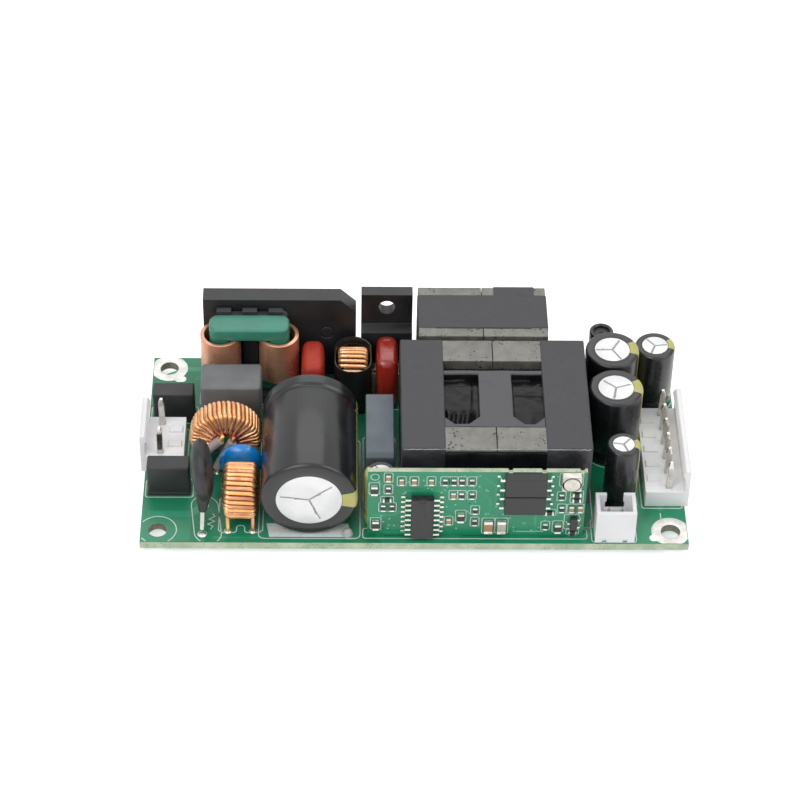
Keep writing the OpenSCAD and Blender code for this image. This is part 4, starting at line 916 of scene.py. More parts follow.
@dataclass
class Ring:
    """A wound ring, its sizes in millimetres and its angles in degrees."""

    centre: np.ndarray
    axis: str
    core_d: float
    core_id: float
    core_w: float
    wire: float
    start: float
    step: float
    bend: float = 0.62

    def point(self, r, angle, w) -> np.ndarray:
        """Place at a radius and an angle, w along the ring's axis."""
        a = np.radians(angle)
        w = np.broadcast_to(w, np.shape(a))
        if self.axis == "x":
            return self.centre + np.stack([w, r * np.cos(a), r * np.sin(a)], -1)
        return self.centre + np.stack([r * np.cos(a), w, r * np.sin(a)], -1)

    def core(self) -> Shape:
        """Coated core: a rounded rectangle swept round the axis."""
        half = (self.core_d - self.core_id) / 4
        loop = rounded_loop(half, self.core_w / 2, 0.75, 6)
        mid = (self.core_d + self.core_id) / 4
        angles = np.linspace(0, 360, 73)[:-1]
        grid = np.array([self.point(mid + loop[:, 0], np.full(len(loop), a), loop[:, 1]) for a in angles])
        return lattice(grid if self.axis == "x" else grid[:, ::-1], wrap_rows=True)

    def strand(self, second: bool, first: float, last: float, before: list, after: list) -> Shape:
        """One strand from lead to lead.

        A turn goes round the core's section in four corners, each an arc of the bend radius, while
        the angle falls by one step.

        Args:
            second: Whether the strand lies on the other one at the hole.
            first: Turn at which the winding begins, counted from the rim at the ring's front.
            last: Turn at which it ends.
            before: Places of the lead before the winding.
            after: Places of the lead after it.
        """
        lift = self.wire + 0.03 if second else 0.0
        hole_r = self.core_id / 2 - self.wire / 2 - 0.05 - lift
        rim_r = self.core_d / 2 + self.wire / 2 + 0.05
        side = self.core_w / 2 + self.wire / 2 + 0.05
        hole_w = side + (0.5 if second else 0.0)
        b = self.bend
        knots_s, knots_r, knots_w = [], [], []
        for c in range(4):
            rim = c in (0, 3)
            centre_r = rim_r - b if rim else hole_r + b
            centre_w = (-1 if c < 2 else 1) * ((side if rim else hole_w) - b)
            for k in range(5):
                a = math.radians(-90 * c - 22.5 * k)
                knots_s.append(c / 4 + 0.04 * k)
                knots_r.append(centre_r + b * math.cos(a))
                knots_w.append(centre_w + b * math.sin(a))
        s = np.arange(round(first * 40), round(last * 40) + 1) / 40
        r = np.interp(s % 1, knots_s, knots_r, period=1)
        w = np.interp(s % 1, knots_s, knots_w, period=1)
        angle = self.start - self.step * s - (self.step / 2 if second else 0)
        path = self.point(r, angle, w)
        a = np.radians(angle)
        zero = np.zeros_like(a)
        sides = (np.stack([zero, -np.sin(a), np.cos(a)], -1) if self.axis == "x"
                 else np.stack([-np.sin(a), zero, np.cos(a)], -1))
        lead_in = smooth_path(before + [path[0]], 6)[:-1] if before else np.empty((0, 3))
        lead_out = smooth_path([path[-1]] + after, 6)[1:] if after else np.empty((0, 3))
        sides = np.vstack([np.repeat(sides[:1], len(lead_in), 0), sides,
                           np.repeat(sides[-1:], len(lead_out), 0)])
        return tube(np.vstack([lead_in, path, lead_out]), self.wire / 2, sides, 10)


class Toroids:
    """The two large wound rings at the mains side and the sleeved one at the back."""

    def __init__(self) -> None:
        self.board = node_box("main_board")
        self.top = float(self.board[1][2])

    def feet(self, x: float, y: float) -> list[Vec]:
        """Lead from under the board up to just above it."""
        return [(x, y, -1.35), (x, y, 0.2), (x, y, self.top + 0.7)]

    def big(self) -> None:
        """Large ring with its axis along Y and two sleeved leads."""
        lo, hi = node_box("filter_toroid_core")
        c = (lo + hi) / 2
        ring = Ring(c, "y", hi[0] - lo[0], 7.3, hi[1] - lo[1], 0.84, 230, 16.4)
        make_piece("large_ring_core", ring.core(), PAINT(GREEN_CORE), ("filter_toroid_core",))
        at = lambda x, y, z: tuple(c + (x, y, z))
        foot = lambda q: [tuple(p) for p in self.feet(c[0] + q[0], c[1] + q[1])]
        first_in = foot((-4.35, -3.7)) + [at(-3.3, -3.7, -0.9), at(-0.9, -3.7, 1.7), at(-0.6, -2.9, 2.1)]
        second_in = foot((-1.65, -3.7)) + [at(1.35, -3.7, 1.3), at(1.2, -2.9, 1.7)]
        first = ring.strand(False, 0.58, 17.75, first_in, foot((3.2, 3.4))[::-1])
        second = ring.strand(True, 0.58, 17.75, second_in, foot((4.7, 3.4))[::-1])
        make_piece("large_ring_yellow_wire", first, PAINT(YELLOW_WIRE),
                   ("filter_toroid_winding",))
        make_piece("large_ring_copper_wire", second, PAINT(COPPER_WIRE))
        left = smooth_path([(c[0] - 4.35, c[1] - 3.7, self.top + 1.2), at(-3.9, -3.72, -2.6),
                            at(-3.3, -3.7, -0.9),
                            at(-0.9, -3.7, 1.7)], 8)
        right = smooth_path([(c[0] - 1.65, c[1] - 3.7, self.top + 1.2), at(-0.2, -3.75, -2),
                             at(1.35, -3.7, 1.3)], 8)
        along = np.array([0.0, 1.0, 0.0])
        make_piece("large_ring_sleeves", tube(left, 0.9, along, 16) + tube(right, 0.9, along, 16),
                   PAINT(WIRE_SLEEVE), ("filter_toroid_sleeves",))

    def small(self) -> None:
        """Small ring with its axis along X."""
        lo, hi = node_box("small_toroid_core")
        c = (lo + hi) / 2
        ring = Ring(c, "x", hi[1] - lo[1], 6, hi[0] - lo[0], 0.8, 223, 20.6)
        make_piece("small_ring_core", ring.core(), PAINT(GREEN_CORE), ("small_toroid_core",))
        foot = lambda sx, sy: self.feet(c[0] + sx * 2.3, c[1] + sy * 4.7)
        first = ring.strand(False, 0.08, 12.08, foot(-1, -1), foot(-1, 1)[::-1])
        second = ring.strand(True, -0.16, 11.84, foot(1, -1), foot(1, 1)[::-1])
        make_piece("small_ring_yellow_wire", first, PAINT(YELLOW_WIRE),
                   ("small_toroid_winding",))
        make_piece("small_ring_copper_wire", second, PAINT(COPPER_WIRE))

    def sleeved(self) -> None:
        """Copper-wound ring in an oval sleeve."""
        lo, hi = node_box("sleeved_choke_core")
        c = (lo + hi) / 2
        ring = Ring(c, "x", hi[1] - lo[1], 5, hi[0] - lo[0], 0.74, 225, 270 / 19)
        make_piece("sleeved_ring_core", ring.core(), PAINT(BLACK_PLASTIC),
                   ("sleeved_choke_core",))
        lead = lambda s: [(c[0], c[1] + s * 3.75, -1.35), (c[0], c[1] + s * 3.75, 0.2),
                          (c[0], c[1] + s * 3.75, self.top + 0.7)]
        wire = ring.strand(False, 0, 19, lead(-1), lead(1)[::-1])
        make_piece("sleeved_ring_wire", wire, PAINT(ORANGE_WIRE), ("sleeved_choke_winding",))
        lo, hi = node_box("sleeved_choke_sleeve")
        mid, half = (lo + hi) / 2, (hi - lo) / 2
        rows = []
        for inset, z in ((0.34, lo[2]), (0.02, lo[2]), (0.02, hi[2] - 0.25), (0.1, hi[2]),
                         (0.3, hi[2] - 0.05),
                         (0.38, hi[2] - 0.4)):
            corner = 2.6 if z < hi[2] - 0.6 else 3.3
            loop = rounded_loop(half[0] - inset, half[1] - inset, corner, 8) + mid[:2]
            ruffle = 0.12 * np.sin(3 * np.arctan2(*(loop - mid[:2]).T)) if z > hi[2] - 0.3 else 0
            rows.append(np.column_stack([loop, np.full(len(loop), z) - np.abs(ruffle)]))
        make_piece("oval_sleeve", lattice(np.array(rows), wrap_rows=True), PAINT(SLEEVE),
                   ("sleeved_choke_sleeve",))

    def rod(self) -> None:
        """Upright rod choke: a dark sleeve round a recessed core."""
        lo, hi = node_box("rod_choke_sleeve")
        mid, r = (lo + hi) / 2, (hi[0] - lo[0]) / 2
        outer = [(r * 0.5, 0), (r - 0.1, 0.02), (r - 0.02, 0.3), (r - 0.02, hi[2] - lo[2] - 0.5)]
        top = hi[2] - lo[2]
        outer += arc((r - 0.42, top - 0.4), 0.4, 0, 150, 6)
        outer += [(r - 0.75, top - 0.9), (r - 0.78, 0.6), (r * 0.5, 0.5)]
        a = np.linspace(0, 2 * math.pi, 41)[:-1]
        grid = np.array([np.column_stack([q * np.cos(a), q * np.sin(a), np.full(40, z)]) for q, z in outer])
        make_piece("rod_sleeve", lattice(grid, wrap_rows=True).placed((mid[0], mid[1], lo[2])),
                   PAINT(SLEEVE),
                   ("rod_choke_sleeve",))
        lo, hi = node_box("rod_choke_core")
        r = (hi[0] - lo[0]) / 2 - 0.02
        top = hi[2] - lo[2]
        core = revolved([(0, 0), (r, 0), (r, top - 0.3), (r - 0.3, top), (0.5, top), (0.4, top - 0.2),
                         (0, top - 0.25)], 32)
        make_piece("rod_core", core.placed((mid[0], mid[1], lo[2])), PAINT(CARRIER),
                   ("rod_choke_core",))

    def build(self) -> None:
        """Makes the pieces."""
        self.big()
        self.small()
        self.sleeved()
        self.rod()


class FlatWireChoke:
    """Green rectangular core with two edge-wound copper coils in a dark carrier."""

    def coil(self, node: str) -> None:
        """Edge-wound coil: a helix of flat turns, each a low ridge on the cylinder's wall."""
        lo, hi = node_box(node)
        mid = (lo + hi) / 2
        r, h, inner, turns = (hi[0] - lo[0]) / 2 - 0.01, hi[2] - lo[2], 3.1, 21
        z = np.linspace(0, h, turns * 8 + 1)[:, None]
        a = np.linspace(0, 2 * math.pi, 65)[:-1][None, :]
        phase = (z / h * turns + a / (2 * math.pi)) % 1.0
        ridge = r - 0.045 * np.clip(1 - np.minimum(phase, 1 - phase) / 0.3, 0, 1)
        wall = np.stack([ridge * np.cos(a), ridge * np.sin(a), np.broadcast_to(z, ridge.shape)], -1)
        angle = a[0]
        rim = lambda q, height: np.column_stack([q * np.cos(angle), q * np.sin(angle), np.full(64, height)])
        tops = np.array([rim(r - 0.12, h), rim(inner + 0.1, h), rim(inner, h - 0.1), rim(inner, 0.1),
                         rim(inner + 0.1, 0.0), rim(r - 0.12, 0.0)])
        grid = np.vstack([wall[1:-1], tops])
        make_piece(node + "_turns", lattice(grid, wrap_rows=True).placed((mid[0], mid[1], lo[2])),
                   PAINT(FLAT_COPPER), (node,))

    def core(self) -> None:
        """Rounded rectangular ring standing on edge."""
        lo, hi = node_box("choke_core")
        leg, bar = 4.2, 2.7
        top = cushion_box(np.array([lo[0], lo[1], hi[2] - bar]), hi, 1.7, 0.5, 0.35, 6)
        low = cushion_box(lo, np.array([hi[0], hi[1], lo[2] + bar]), 1.3, 0.3, 0.5, 6)
        legs = [cushion_box(np.array([x, lo[1] + 0.05, lo[2] + 1]),
                            np.array([x + leg, hi[1] - 0.05, hi[2] - 1]), 1.3)
                for x in (lo[0] + 0.03, hi[0] - leg - 0.03)]
        make_piece("choke_ring", joined([top, low, *legs]), PAINT(GREEN_CORE),
                   ("choke_core",))

    def build(self) -> None:
        """Makes the pieces."""
        self.coil("choke_coil_left")
        self.coil("choke_coil_right")
        self.core()
        bevelled_copy("choke_carrier", 0.2, PAINT(CARRIER))


# ---------------------------------------------------------------- capacitors

@dataclass
class CanSizes:
    """Sizes of an electrolytic capacitor; the stripe's angles are in degrees."""

    diameter: float
    height: float
    crimp: float
    lip: float
    stripe: tuple[float, float] = (-20.0, 20.0)
    arms: tuple[float, float, float] = (90.0, 210.0, 330.0)
    edge: float = 0.7


class Electrolytic:
    """An electrolytic capacitor along its own Z, from its foot to its vented top."""

    def __init__(self, sizes: CanSizes) -> None:
        self.s = sizes

    def profile(self, out: float = 0.0) -> list[tuple[float, float]]:
        """Sleeve's outside from its foot over the crimp and round the top edge to the lip."""
        s = self.s
        r, h, e = s.diameter / 2 - 0.05 + out, s.height - 0.03, s.edge
        z = np.linspace(s.crimp - 0.9, s.crimp + 0.9, 9)
        groove = [(r - 0.42 * math.cos((q - s.crimp) / 0.9 * math.pi / 2) ** 2, q) for q in z]
        top = arc((r - e, h - e + out), e, 0, 90, 7)
        return [(r - 0.25, 0.0), (r, 0.25)] + groove + top + [(r - s.lip, h + out)]

    def sleeve(self) -> Shape:
        """Printed film round the can, folded over its top edge."""
        outer = self.profile()
        low_lip = [(outer[-1][0] - 0.12, outer[-1][1] - 0.06), (outer[-1][0] - 0.12, self.s.height - 0.35)]
        profile = outer + low_lip + [(self.s.diameter / 2 - 0.6, self.s.height - 0.35),
                                     (self.s.diameter / 2 - 0.6, 0.2)]
        a = np.linspace(0, 2 * math.pi, 97)[:-1]
        grid = np.array([np.column_stack([q * np.cos(a), q * np.sin(a), np.full(96, z)])
                         for q, z in profile])
        return lattice(grid, wrap_rows=True)

    def stripe(self) -> Shape:
        """Printed stripe: a patch of the sleeve's outside, a hair thicker."""
        profile = self.profile(0.02)
        a = np.radians(np.linspace(*self.s.stripe, 17))
        rows = []
        for q, z in profile:
            outer = np.column_stack([q * np.cos(a), q * np.sin(a), np.full(17, z)])
            inner = np.column_stack([(q - 0.06) * np.cos(a), (q - 0.06) * np.sin(a), np.full(17, z - 0.01)])
            rows.append(np.vstack([outer, inner[::-1]]))
        return lattice(np.array(rows))

    def top(self) -> Shape:
        """Can's top: flat, with three pressed grooves that meet in the middle.

        The depth at a place is a bell of its distance from the nearest of the three arms.
        """
        s = self.s
        r_max = s.diameter / 2 - s.lip + 0.25
        r = np.linspace(0.0, 1.0, 30)[:, None] * r_max
        a = np.linspace(0, 2 * math.pi, 121)[:-1][None, :]
        x, y = r * np.cos(a), r * np.sin(a)
        depth = np.zeros_like(x)
        for arm in np.radians(s.arms):
            along = x * math.cos(arm) + y * math.sin(arm)
            across = -x * math.sin(arm) + y * math.cos(arm)
            near = np.clip(along / 0.3 + 0.5, 0, 1) * np.clip((0.86 * r_max - along) / 0.25, 0, 1)
            depth = np.maximum(depth, near * np.exp(-(across / 0.17) ** 2))
        z = s.height - 0.1 - 0.16 * depth - 0.06 * (r / r_max) ** 6
        face = np.stack([x, y, z], -1)[::-1]
        base = face[:1].copy()
        base[..., 2] = s.height - 0.9
        grid = np.vstack([base, face])
        # Groove depth at each point, kept to choose the faces that get the painted groove shade.
        self.groove = np.vstack([depth[-1:], depth[::-1]])
        return lattice(grid)

    def build(self, name: str, at: Vec, axes: np.ndarray | None, can: str, sleeve: str) -> None:
        """Makes the pieces of one capacitor."""
        lid = make_piece(name + "_top", self.top().placed(at, axes), PAINT(CAN), (can,))
        # Faces deep in the pressed grooves get the darker grey: painted shade, not a real colour of the can.
        lid.data.materials.append(PAINT(PAINTED_GROOVE_SHADE))
        mean = (self.groove[:-1] + self.groove[1:] + np.roll(self.groove, -1, 1)[:-1]
                + np.roll(self.groove, -1, 1)[1:]) / 4
        index = np.zeros(len(lid.data.polygons), dtype=np.int32)
        index[:mean.size] = (mean > 0.45).astype(np.int32).reshape(-1)
        lid.data.polygons.foreach_set("material_index", index)
        make_piece(name + "_sleeve", self.sleeve().placed(at, axes), PAINT(SLEEVE),
                   (sleeve,))
        make_piece(name + "_stripe", self.stripe().placed(at, axes), PAINT(STRIPE))


class Capacitors:
    """All electrolytic and film capacitors apart from the mains filter capacitor."""

    def upright(self, name: str, stripe: tuple[float, float], turn: float) -> None:
        """An upright electrolytic capacitor."""
        lo, hi = node_box(name + "_sleeve")
        d = hi[0] - lo[0]
        arms = (turn, turn + 120, turn + 240)
        part = Electrolytic(CanSizes(d, hi[2] - lo[2], 2.2, 0.16 * d, stripe, arms, 0.6))
        at = ((lo[0] + hi[0]) / 2, (lo[1] + hi[1]) / 2, lo[2])
        part.build(name + "_part", at, None, name + "_can", name + "_sleeve")

    def bulk(self) -> None:
        """The large capacitor that lies along Y, its top to the front."""
        lo, hi = node_box("bulk_capacitor_sleeve")
        d = hi[0] - lo[0]
        part = Electrolytic(CanSizes(d, hi[1] - lo[1], 3.0, 2.75, (-12, 14), (38, 172, 292), 0.9))
        at = ((lo[0] + hi[0]) / 2, hi[1], (lo[2] + hi[2]) / 2)
        part.build("reservoir", at, FRONTWARD, "bulk_capacitor_can", "bulk_capacitor_sleeve")
        board_top = node_box("main_board")[1][2]
        dome = [(1.05 * math.cos(t), 1.3 * math.sin(t)) for t in np.linspace(0, 1.5, 8)]
        blob = revolved([(0, 0)] + dome, 24)
        make_piece("glue_drop", blob.placed((hi[0] - 1.9, lo[1] + 0.3, board_top)), PAINT(GLUE))

    def dipped_box(self, node: str, finish: Finish) -> None:
        """Dipped film capacitor: a box whose section is a superellipse both ways."""
        lo, hi = node_box(node)
        half, mid = (hi - lo) / 2, (hi + lo) / 2
        u = np.linspace(-math.pi / 2, math.pi / 2, 29)[:, None]
        v = np.linspace(0, 2 * math.pi, 49)[:-1][None, :]
        power = lambda t, e: np.sign(t) * np.abs(t) ** e
        x = half[0] * power(np.cos(u), 0.42) * power(np.cos(v), 0.62)
        y = half[1] * power(np.cos(u), 0.42) * power(np.sin(v), 0.42)
        z = half[2] * power(np.sin(u), 0.42) + 0 * v
        grid = np.stack([x + mid[0], y + mid[1], z + mid[2]], -1)
        make_piece(node + "_body", lattice(grid), PAINT(finish), (node,), 60)

    def build(self) -> None:
        """Makes the pieces."""
        self.bulk()
        self.upright("output_capacitor_rear", (-18, 28), 60)
        self.upright("output_capacitor_middle", (-20, 26), 19)
        self.upright("output_capacitor_side", (-18, 30), 8)
        self.upright("output_capacitor_front", (-26, 24), 50)
        self.upright("small_capacitor", (150, 215), 0)
        self.dipped_box("red_capacitor_left", RED_MATTE)
        self.dipped_box("red_capacitor_right", RED_GLOSS)
        bevelled_copy("grey_capacitor", 0.3, PAINT(SLATE), 3)


# ---------------------------------------------------------------- power devices and transformers

class PowerDevices:
    """Bridge rectifier and power transistor, both upright in black epoxy."""

    def build(self) -> None:
        """Makes the pieces."""
        bevelled_copy("bridge_rectifier", 0.22, PAINT(BLACK_EPOXY), 3)
        bevelled_copy("power_transistor", 0.16, PAINT(BLACK_EPOXY), 3)


def taped_block(lo: np.ndarray, hi: np.ndarray, edge: float, swell: float, seed: int) -> Shape:
    """Box wrapped in tape: round edges and faces that swell and dip a little.

    Each face is a grid. A point moves along its face's normal by the swell times two sines of
    its place, which fade to zero at the box's edges so that neighbouring faces still meet.
    """
    lo, hi = np.asarray(lo, float), np.asarray(hi, float)
    half, mid = (hi - lo) / 2, (hi + lo) / 2
    n = 25
    t = np.sin(np.linspace(-math.pi / 2, math.pi / 2, n))
    faces = []
    for axis in range(3):
        for sign in (-1.0, 1.0):
            a, b = np.meshgrid(t, t, indexing="ij")
            p = np.empty((n, n, 3))
            p[..., axis] = sign
            p[..., (axis + 1) % 3], p[..., (axis + 2) % 3] = (a, b) if sign > 0 else (b, a)
            p = p * half
            fade = (1 - a ** 6) * (1 - b ** 6)
            wave = (np.sin(p[..., (axis + 1) % 3] * 0.9 + seed)
                    + np.sin(p[..., (axis + 2) % 3] * 1.3 + 2 * seed))
            inner = np.clip(p, -half + edge, half - edge)
            d = p - inner
            p = inner + d * (edge / np.maximum(np.linalg.norm(d, axis=-1, keepdims=True), 1e-9))
            p[..., axis] += sign * swell * (0.5 * wave - 1.0) * fade * 0.5
            faces.append(lattice(p + mid, wrap_cols=False, caps=False))
    return joined(faces)


@dataclass
class TransformerSizes:
    """Lengths of the main transformer's top."""

    band_left: float = 8.0
    band_right: float = 8.3
    bar: float = 5.8
    seam: float = 0.09
    tape_edge: float = 0.35


class Transformers:
    """Main transformer and the inductor behind it."""

    def __init__(self, sizes: TransformerSizes = TransformerSizes()) -> None:
        self.s = sizes

    def core_bars(self, lo: np.ndarray, hi: np.ndarray, spans: list[tuple[float, float]],
                  seam: float) -> Shape:
        """Ferrite bars along X, each in two halves that meet at a seam."""
        bars = []
        for y0, y1 in spans:
            for x0, x1 in ((lo[0], seam - self.s.seam / 2), (seam + self.s.seam / 2, hi[0])):
                bars.append(cushion_box(np.array([x0, y0, lo[2]]), np.array([x1, y1, hi[2]]),
                                        0.12, 0.14, 0.1))
        return joined(bars)

    def cover_height(self, x: np.ndarray, y: np.ndarray, pockets: list[tuple[float, float]],
                     y0: float, y1: float) -> np.ndarray:
        """Depth share of the cover's top: 1 in the pockets and 0 on the flat.

        A pocket is a rectangle with its front corners cut at 45 degrees; the share is a smooth
        step of the distance to the nearest of its five sides.
        """
        depth = np.zeros_like(x)
        for x0, x1 in pockets:
            inside = np.minimum.reduce([x - x0, x1 - x, y1 - y, y - y0,
                                        ((x - x0) + (y - y0) - 2.0) / 1.414, ((x1 - x) + (y - y0) - 2.0) / 1.414])
            depth = np.maximum(depth, np.clip(inside / 0.35 + 0.5, 0, 1))
        return depth * depth * (3 - 2 * depth)

    def main(self) -> None:
        """Main transformer."""
        s = self.s
        lo, hi = node_box("transformer_core")
        mid_x = float((lo[0] + hi[0]) / 2)
        spans = [(lo[1], lo[1] + s.bar), (hi[1] - s.bar, hi[1])]
        make_piece("transformer_bars", self.core_bars(lo, hi, spans, mid_x), PAINT(FERRITE),
                   ("transformer_core",), 30)
        t_lo, t_hi = node_box("transformer_tape")
        left = taped_block(np.array([t_lo[0], t_lo[1], lo[2]]),
                           np.array([lo[0] + s.band_left, t_hi[1], t_hi[2]]), s.tape_edge, 0.10, 1)
        right = taped_block(np.array([hi[0] - s.band_right, t_lo[1], lo[2]]), t_hi, s.tape_edge, 0.10, 2)
        make_piece("transformer_end_tape", left + right, PAINT(TAPE),
                   ("transformer_tape",), 50)
        self.cover(lo, hi, mid_x)
        front = cushion_box(np.array([lo[0] + 7.9, t_lo[1] + 0.02, lo[2] + 0.3]),
                            np.array([hi[0] - 8.2, lo[1] + 0.1, hi[2] - 0.7]), 0.05, 0.3, 0.3)
        make_piece("transformer_front_tape", front, PAINT(FILM))
        self.frayed(t_lo, t_hi)
        dress_node("transformer_bobbin", PAINT(BLACK_PLASTIC))

    def cover(self, lo: np.ndarray, hi: np.ndarray, mid_x: float) -> None:
        """Cover over the winding, with two pockets lined by wrinkled film."""
        s = self.s
        w_lo, w_hi = node_box("transformer_winding")
        x0, x1 = lo[0] + s.band_left - 0.3, hi[0] - s.band_right + 0.3
        y0, y1 = w_lo[1], w_hi[1]
        pockets = [(x0 + 0.15, x0 + 6.6), (x1 - 5.9, x1 - 0.15)]
        back_y = y1 - 1.9
        x, y = np.meshgrid(np.linspace(x0, x1, 171), np.linspace(y0, y1, 141), indexing="ij")
        share = self.cover_height(x, y, pockets, y0 + 0.9, back_y - 1.3)
        ledge = np.clip((y - back_y) / 0.3 + 0.5, 0, 1)
        v = np.clip((y - y0 - 0.9) / (back_y - 2.2 - y0), 0, 1)
        trench = 1.1 * np.clip((v - 0.80) / 0.05, 0, 1)
        slope = np.clip((0.30 - v) / 0.26, 0, 1)
        pleats = 0.34 * np.cos(3.6 * x + 0.4 * np.sin(2 * y)) * (x < mid_x)
        pleats = pleats * np.clip((0.34 - v) / 0.12, 0, 1)
        facet = 0.5 * np.clip((x - x1 + 4.4) * 0.5 + (v - 0.28) * 4, 0, 1) * (x > mid_x) * (v < 0.6)
        crease = 0.25 * np.exp(-((x - x0 - 5.3 - 0.25 * v) / 0.16) ** 2)
        bag = 0.10 * np.sin(0.9 * y + 0.5 * x) + 0.05 * np.sin(2.1 * x - 0.4 * y)
        depth = 0.55 + trench + 0.75 * slope + pleats + facet * 0.5 + crease + bag
        z = w_hi[2] - 0.03 - share * depth - ledge * 1.6
        z = z + 0.03 * np.sin(0.8 * x + 0.5 * y)
        z = np.minimum(z, w_hi[2])
        grid = np.stack([x, y, z], -1)
        shape = lattice(grid, wrap_cols=False, caps=False)
        skirt_path = np.vstack([grid[:, 0], grid[-1, 1:], grid[::-1, -1][1:], grid[0, ::-1][1:-1]])
        low = skirt_path.copy()
        low[:, 2] = w_lo[2]
        skirt = lattice(np.array([low, skirt_path]), caps=False)
        tones = np.maximum(share, ledge * 0.9)
        self.two_tone("winding_cover_top", shape + skirt, tones, grid.shape[:2], ("transformer_winding",))

    def two_tone(self, name: str, shape: Shape, share: np.ndarray, size: tuple[int, int],
                 replaces: tuple[str, ...]) -> None:
        """Piece whose deep parts wear the glossy film and whose flat parts wear the cover's finish."""
        piece = make_piece(name, shape, PAINT(COVER), replaces, 70)
        piece.data.materials.append(PAINT(FILM))
        cells = (share[:-1, :-1] + share[1:, 1:]) / 2
        index = np.zeros(len(piece.data.polygons), dtype=np.int32)
        index[:cells.size] = (cells > 0.2).astype(np.int32).reshape(-1)
        piece.data.polygons.foreach_set("material_index", index)

    def frayed(self, lo: np.ndarray, hi: np.ndarray) -> None:
        """Torn clear tape along the front top edge: short bent threads."""
        rng = np.random.default_rng(7)
        threads = []
        edge = smooth_path([(lo[0] + 0.4, lo[1] + 0.04, hi[2] - 0.25),
                            ((lo[0] + hi[0]) / 2, lo[1] + 0.05, hi[2] - 0.16),
                            (hi[0] - 0.4, lo[1] + 0.04, hi[2] - 0.22)], 40)
        wave = 0.05 * np.sin(np.arange(len(edge)) * 1.9)
        edge = edge + np.column_stack([np.zeros(len(edge)), np.zeros(len(edge)), wave])
        threads.append(tube(edge, 0.07, np.array([0, 1.0, 0]), 6))
        for start in rng.uniform(lo[0] + 12, hi[0] - 8, 26):
            length = rng.uniform(0.8, 2.6)
            bend = rng.uniform(-0.35, 0.35)
            knots = [(start, lo[1] + 0.08, hi[2] - 0.3),
                     (start + length * 0.5, lo[1] + 0.05, hi[2] - 0.25 + 0.3 * bend),
                     (start + length, lo[1] + 0.07, hi[2] - 0.3 + bend * 0.5)]
            threads.append(tube(smooth_path(knots, 5), 0.045, np.array([0, 1.0, 0]), 5))
        make_piece("frayed_edge", joined(threads), PAINT(CLEAR_TAPE))

    def rear(self) -> None:
        """Inductor behind the transformer, taped over its top and ends."""
        lo, hi = node_box("rear_inductor_core")
        leg = 2.3
        bars = self.core_bars(lo, hi, [(lo[1], lo[1] + leg), (hi[1] - leg, hi[1])],
                              float((lo[0] + hi[0]) / 2))
        ends = [cushion_box(np.array([x0, lo[1] + leg - 0.1, lo[2]]),
                            np.array([x1, hi[1] - leg + 0.1, hi[2]]), 0.1, 0.1)
                for x0, x1 in ((lo[0], lo[0] + 3.2), (hi[0] - 3.2, hi[0]))]
        make_piece("rear_bars", joined([bars, *ends]), PAINT(FERRITE),
                   ("rear_inductor_core",), 30)
        t_lo, t_hi = node_box("rear_inductor_tape")
        band = taped_block(np.array([t_lo[0], lo[1] + leg, lo[2] + 0.05]),
                           np.array([t_hi[0], hi[1] - leg, t_hi[2]]), 0.3, 0.08, 3)
        x, y = np.meshgrid(np.linspace(lo[0] + 14.6, lo[0] + 22.4, 30),
                           np.linspace(hi[1] - leg - 1.8, hi[1] + 0.02, 18),
                           indexing="ij")
        lift = 0.05 + 0.05 * np.sin(0.9 * x) ** 2
        top = np.stack([x, y, np.minimum(t_hi[2] - 0.06 + lift * (y > hi[1] - leg), t_hi[2] + 0.0)], -1)
        low = top.copy()
        low[..., 2] -= 0.12
        tab = joined([lattice(top, wrap_cols=False, caps=False),
                      lattice(low[:, ::-1], wrap_cols=False, caps=False),
                      lattice(np.array([np.vstack([g[:, 0], g[-1, 1:], g[::-1, -1][1:], g[0, ::-1][1:-1]])
                                        for g in (low, top)]), caps=False)])
        make_piece("rear_tape", band + tab, PAINT(TAPE), ("rear_inductor_tape",), 50)
        bevelled_copy("rear_inductor_winding", 0.3, PAINT(FILM))
        dress_node("rear_inductor_bobbin", PAINT(BLACK_PLASTIC))

    def build(self) -> None:
        """Makes the pieces."""
        self.main()
        self.rear()


# ---------------------------------------------------------------- control board

class ChipKind(Enum):
    """What a chip part is, which sets its finish."""

    CERAMIC = "ceramic"
    PALE = "pale"
    RESISTOR = "resistor"


@dataclass
class ControlSizes:
    """Lengths on the control board."""

    silk_w: float = 0.12
    silk_t: float = 0.015
    margin: float = 0.38


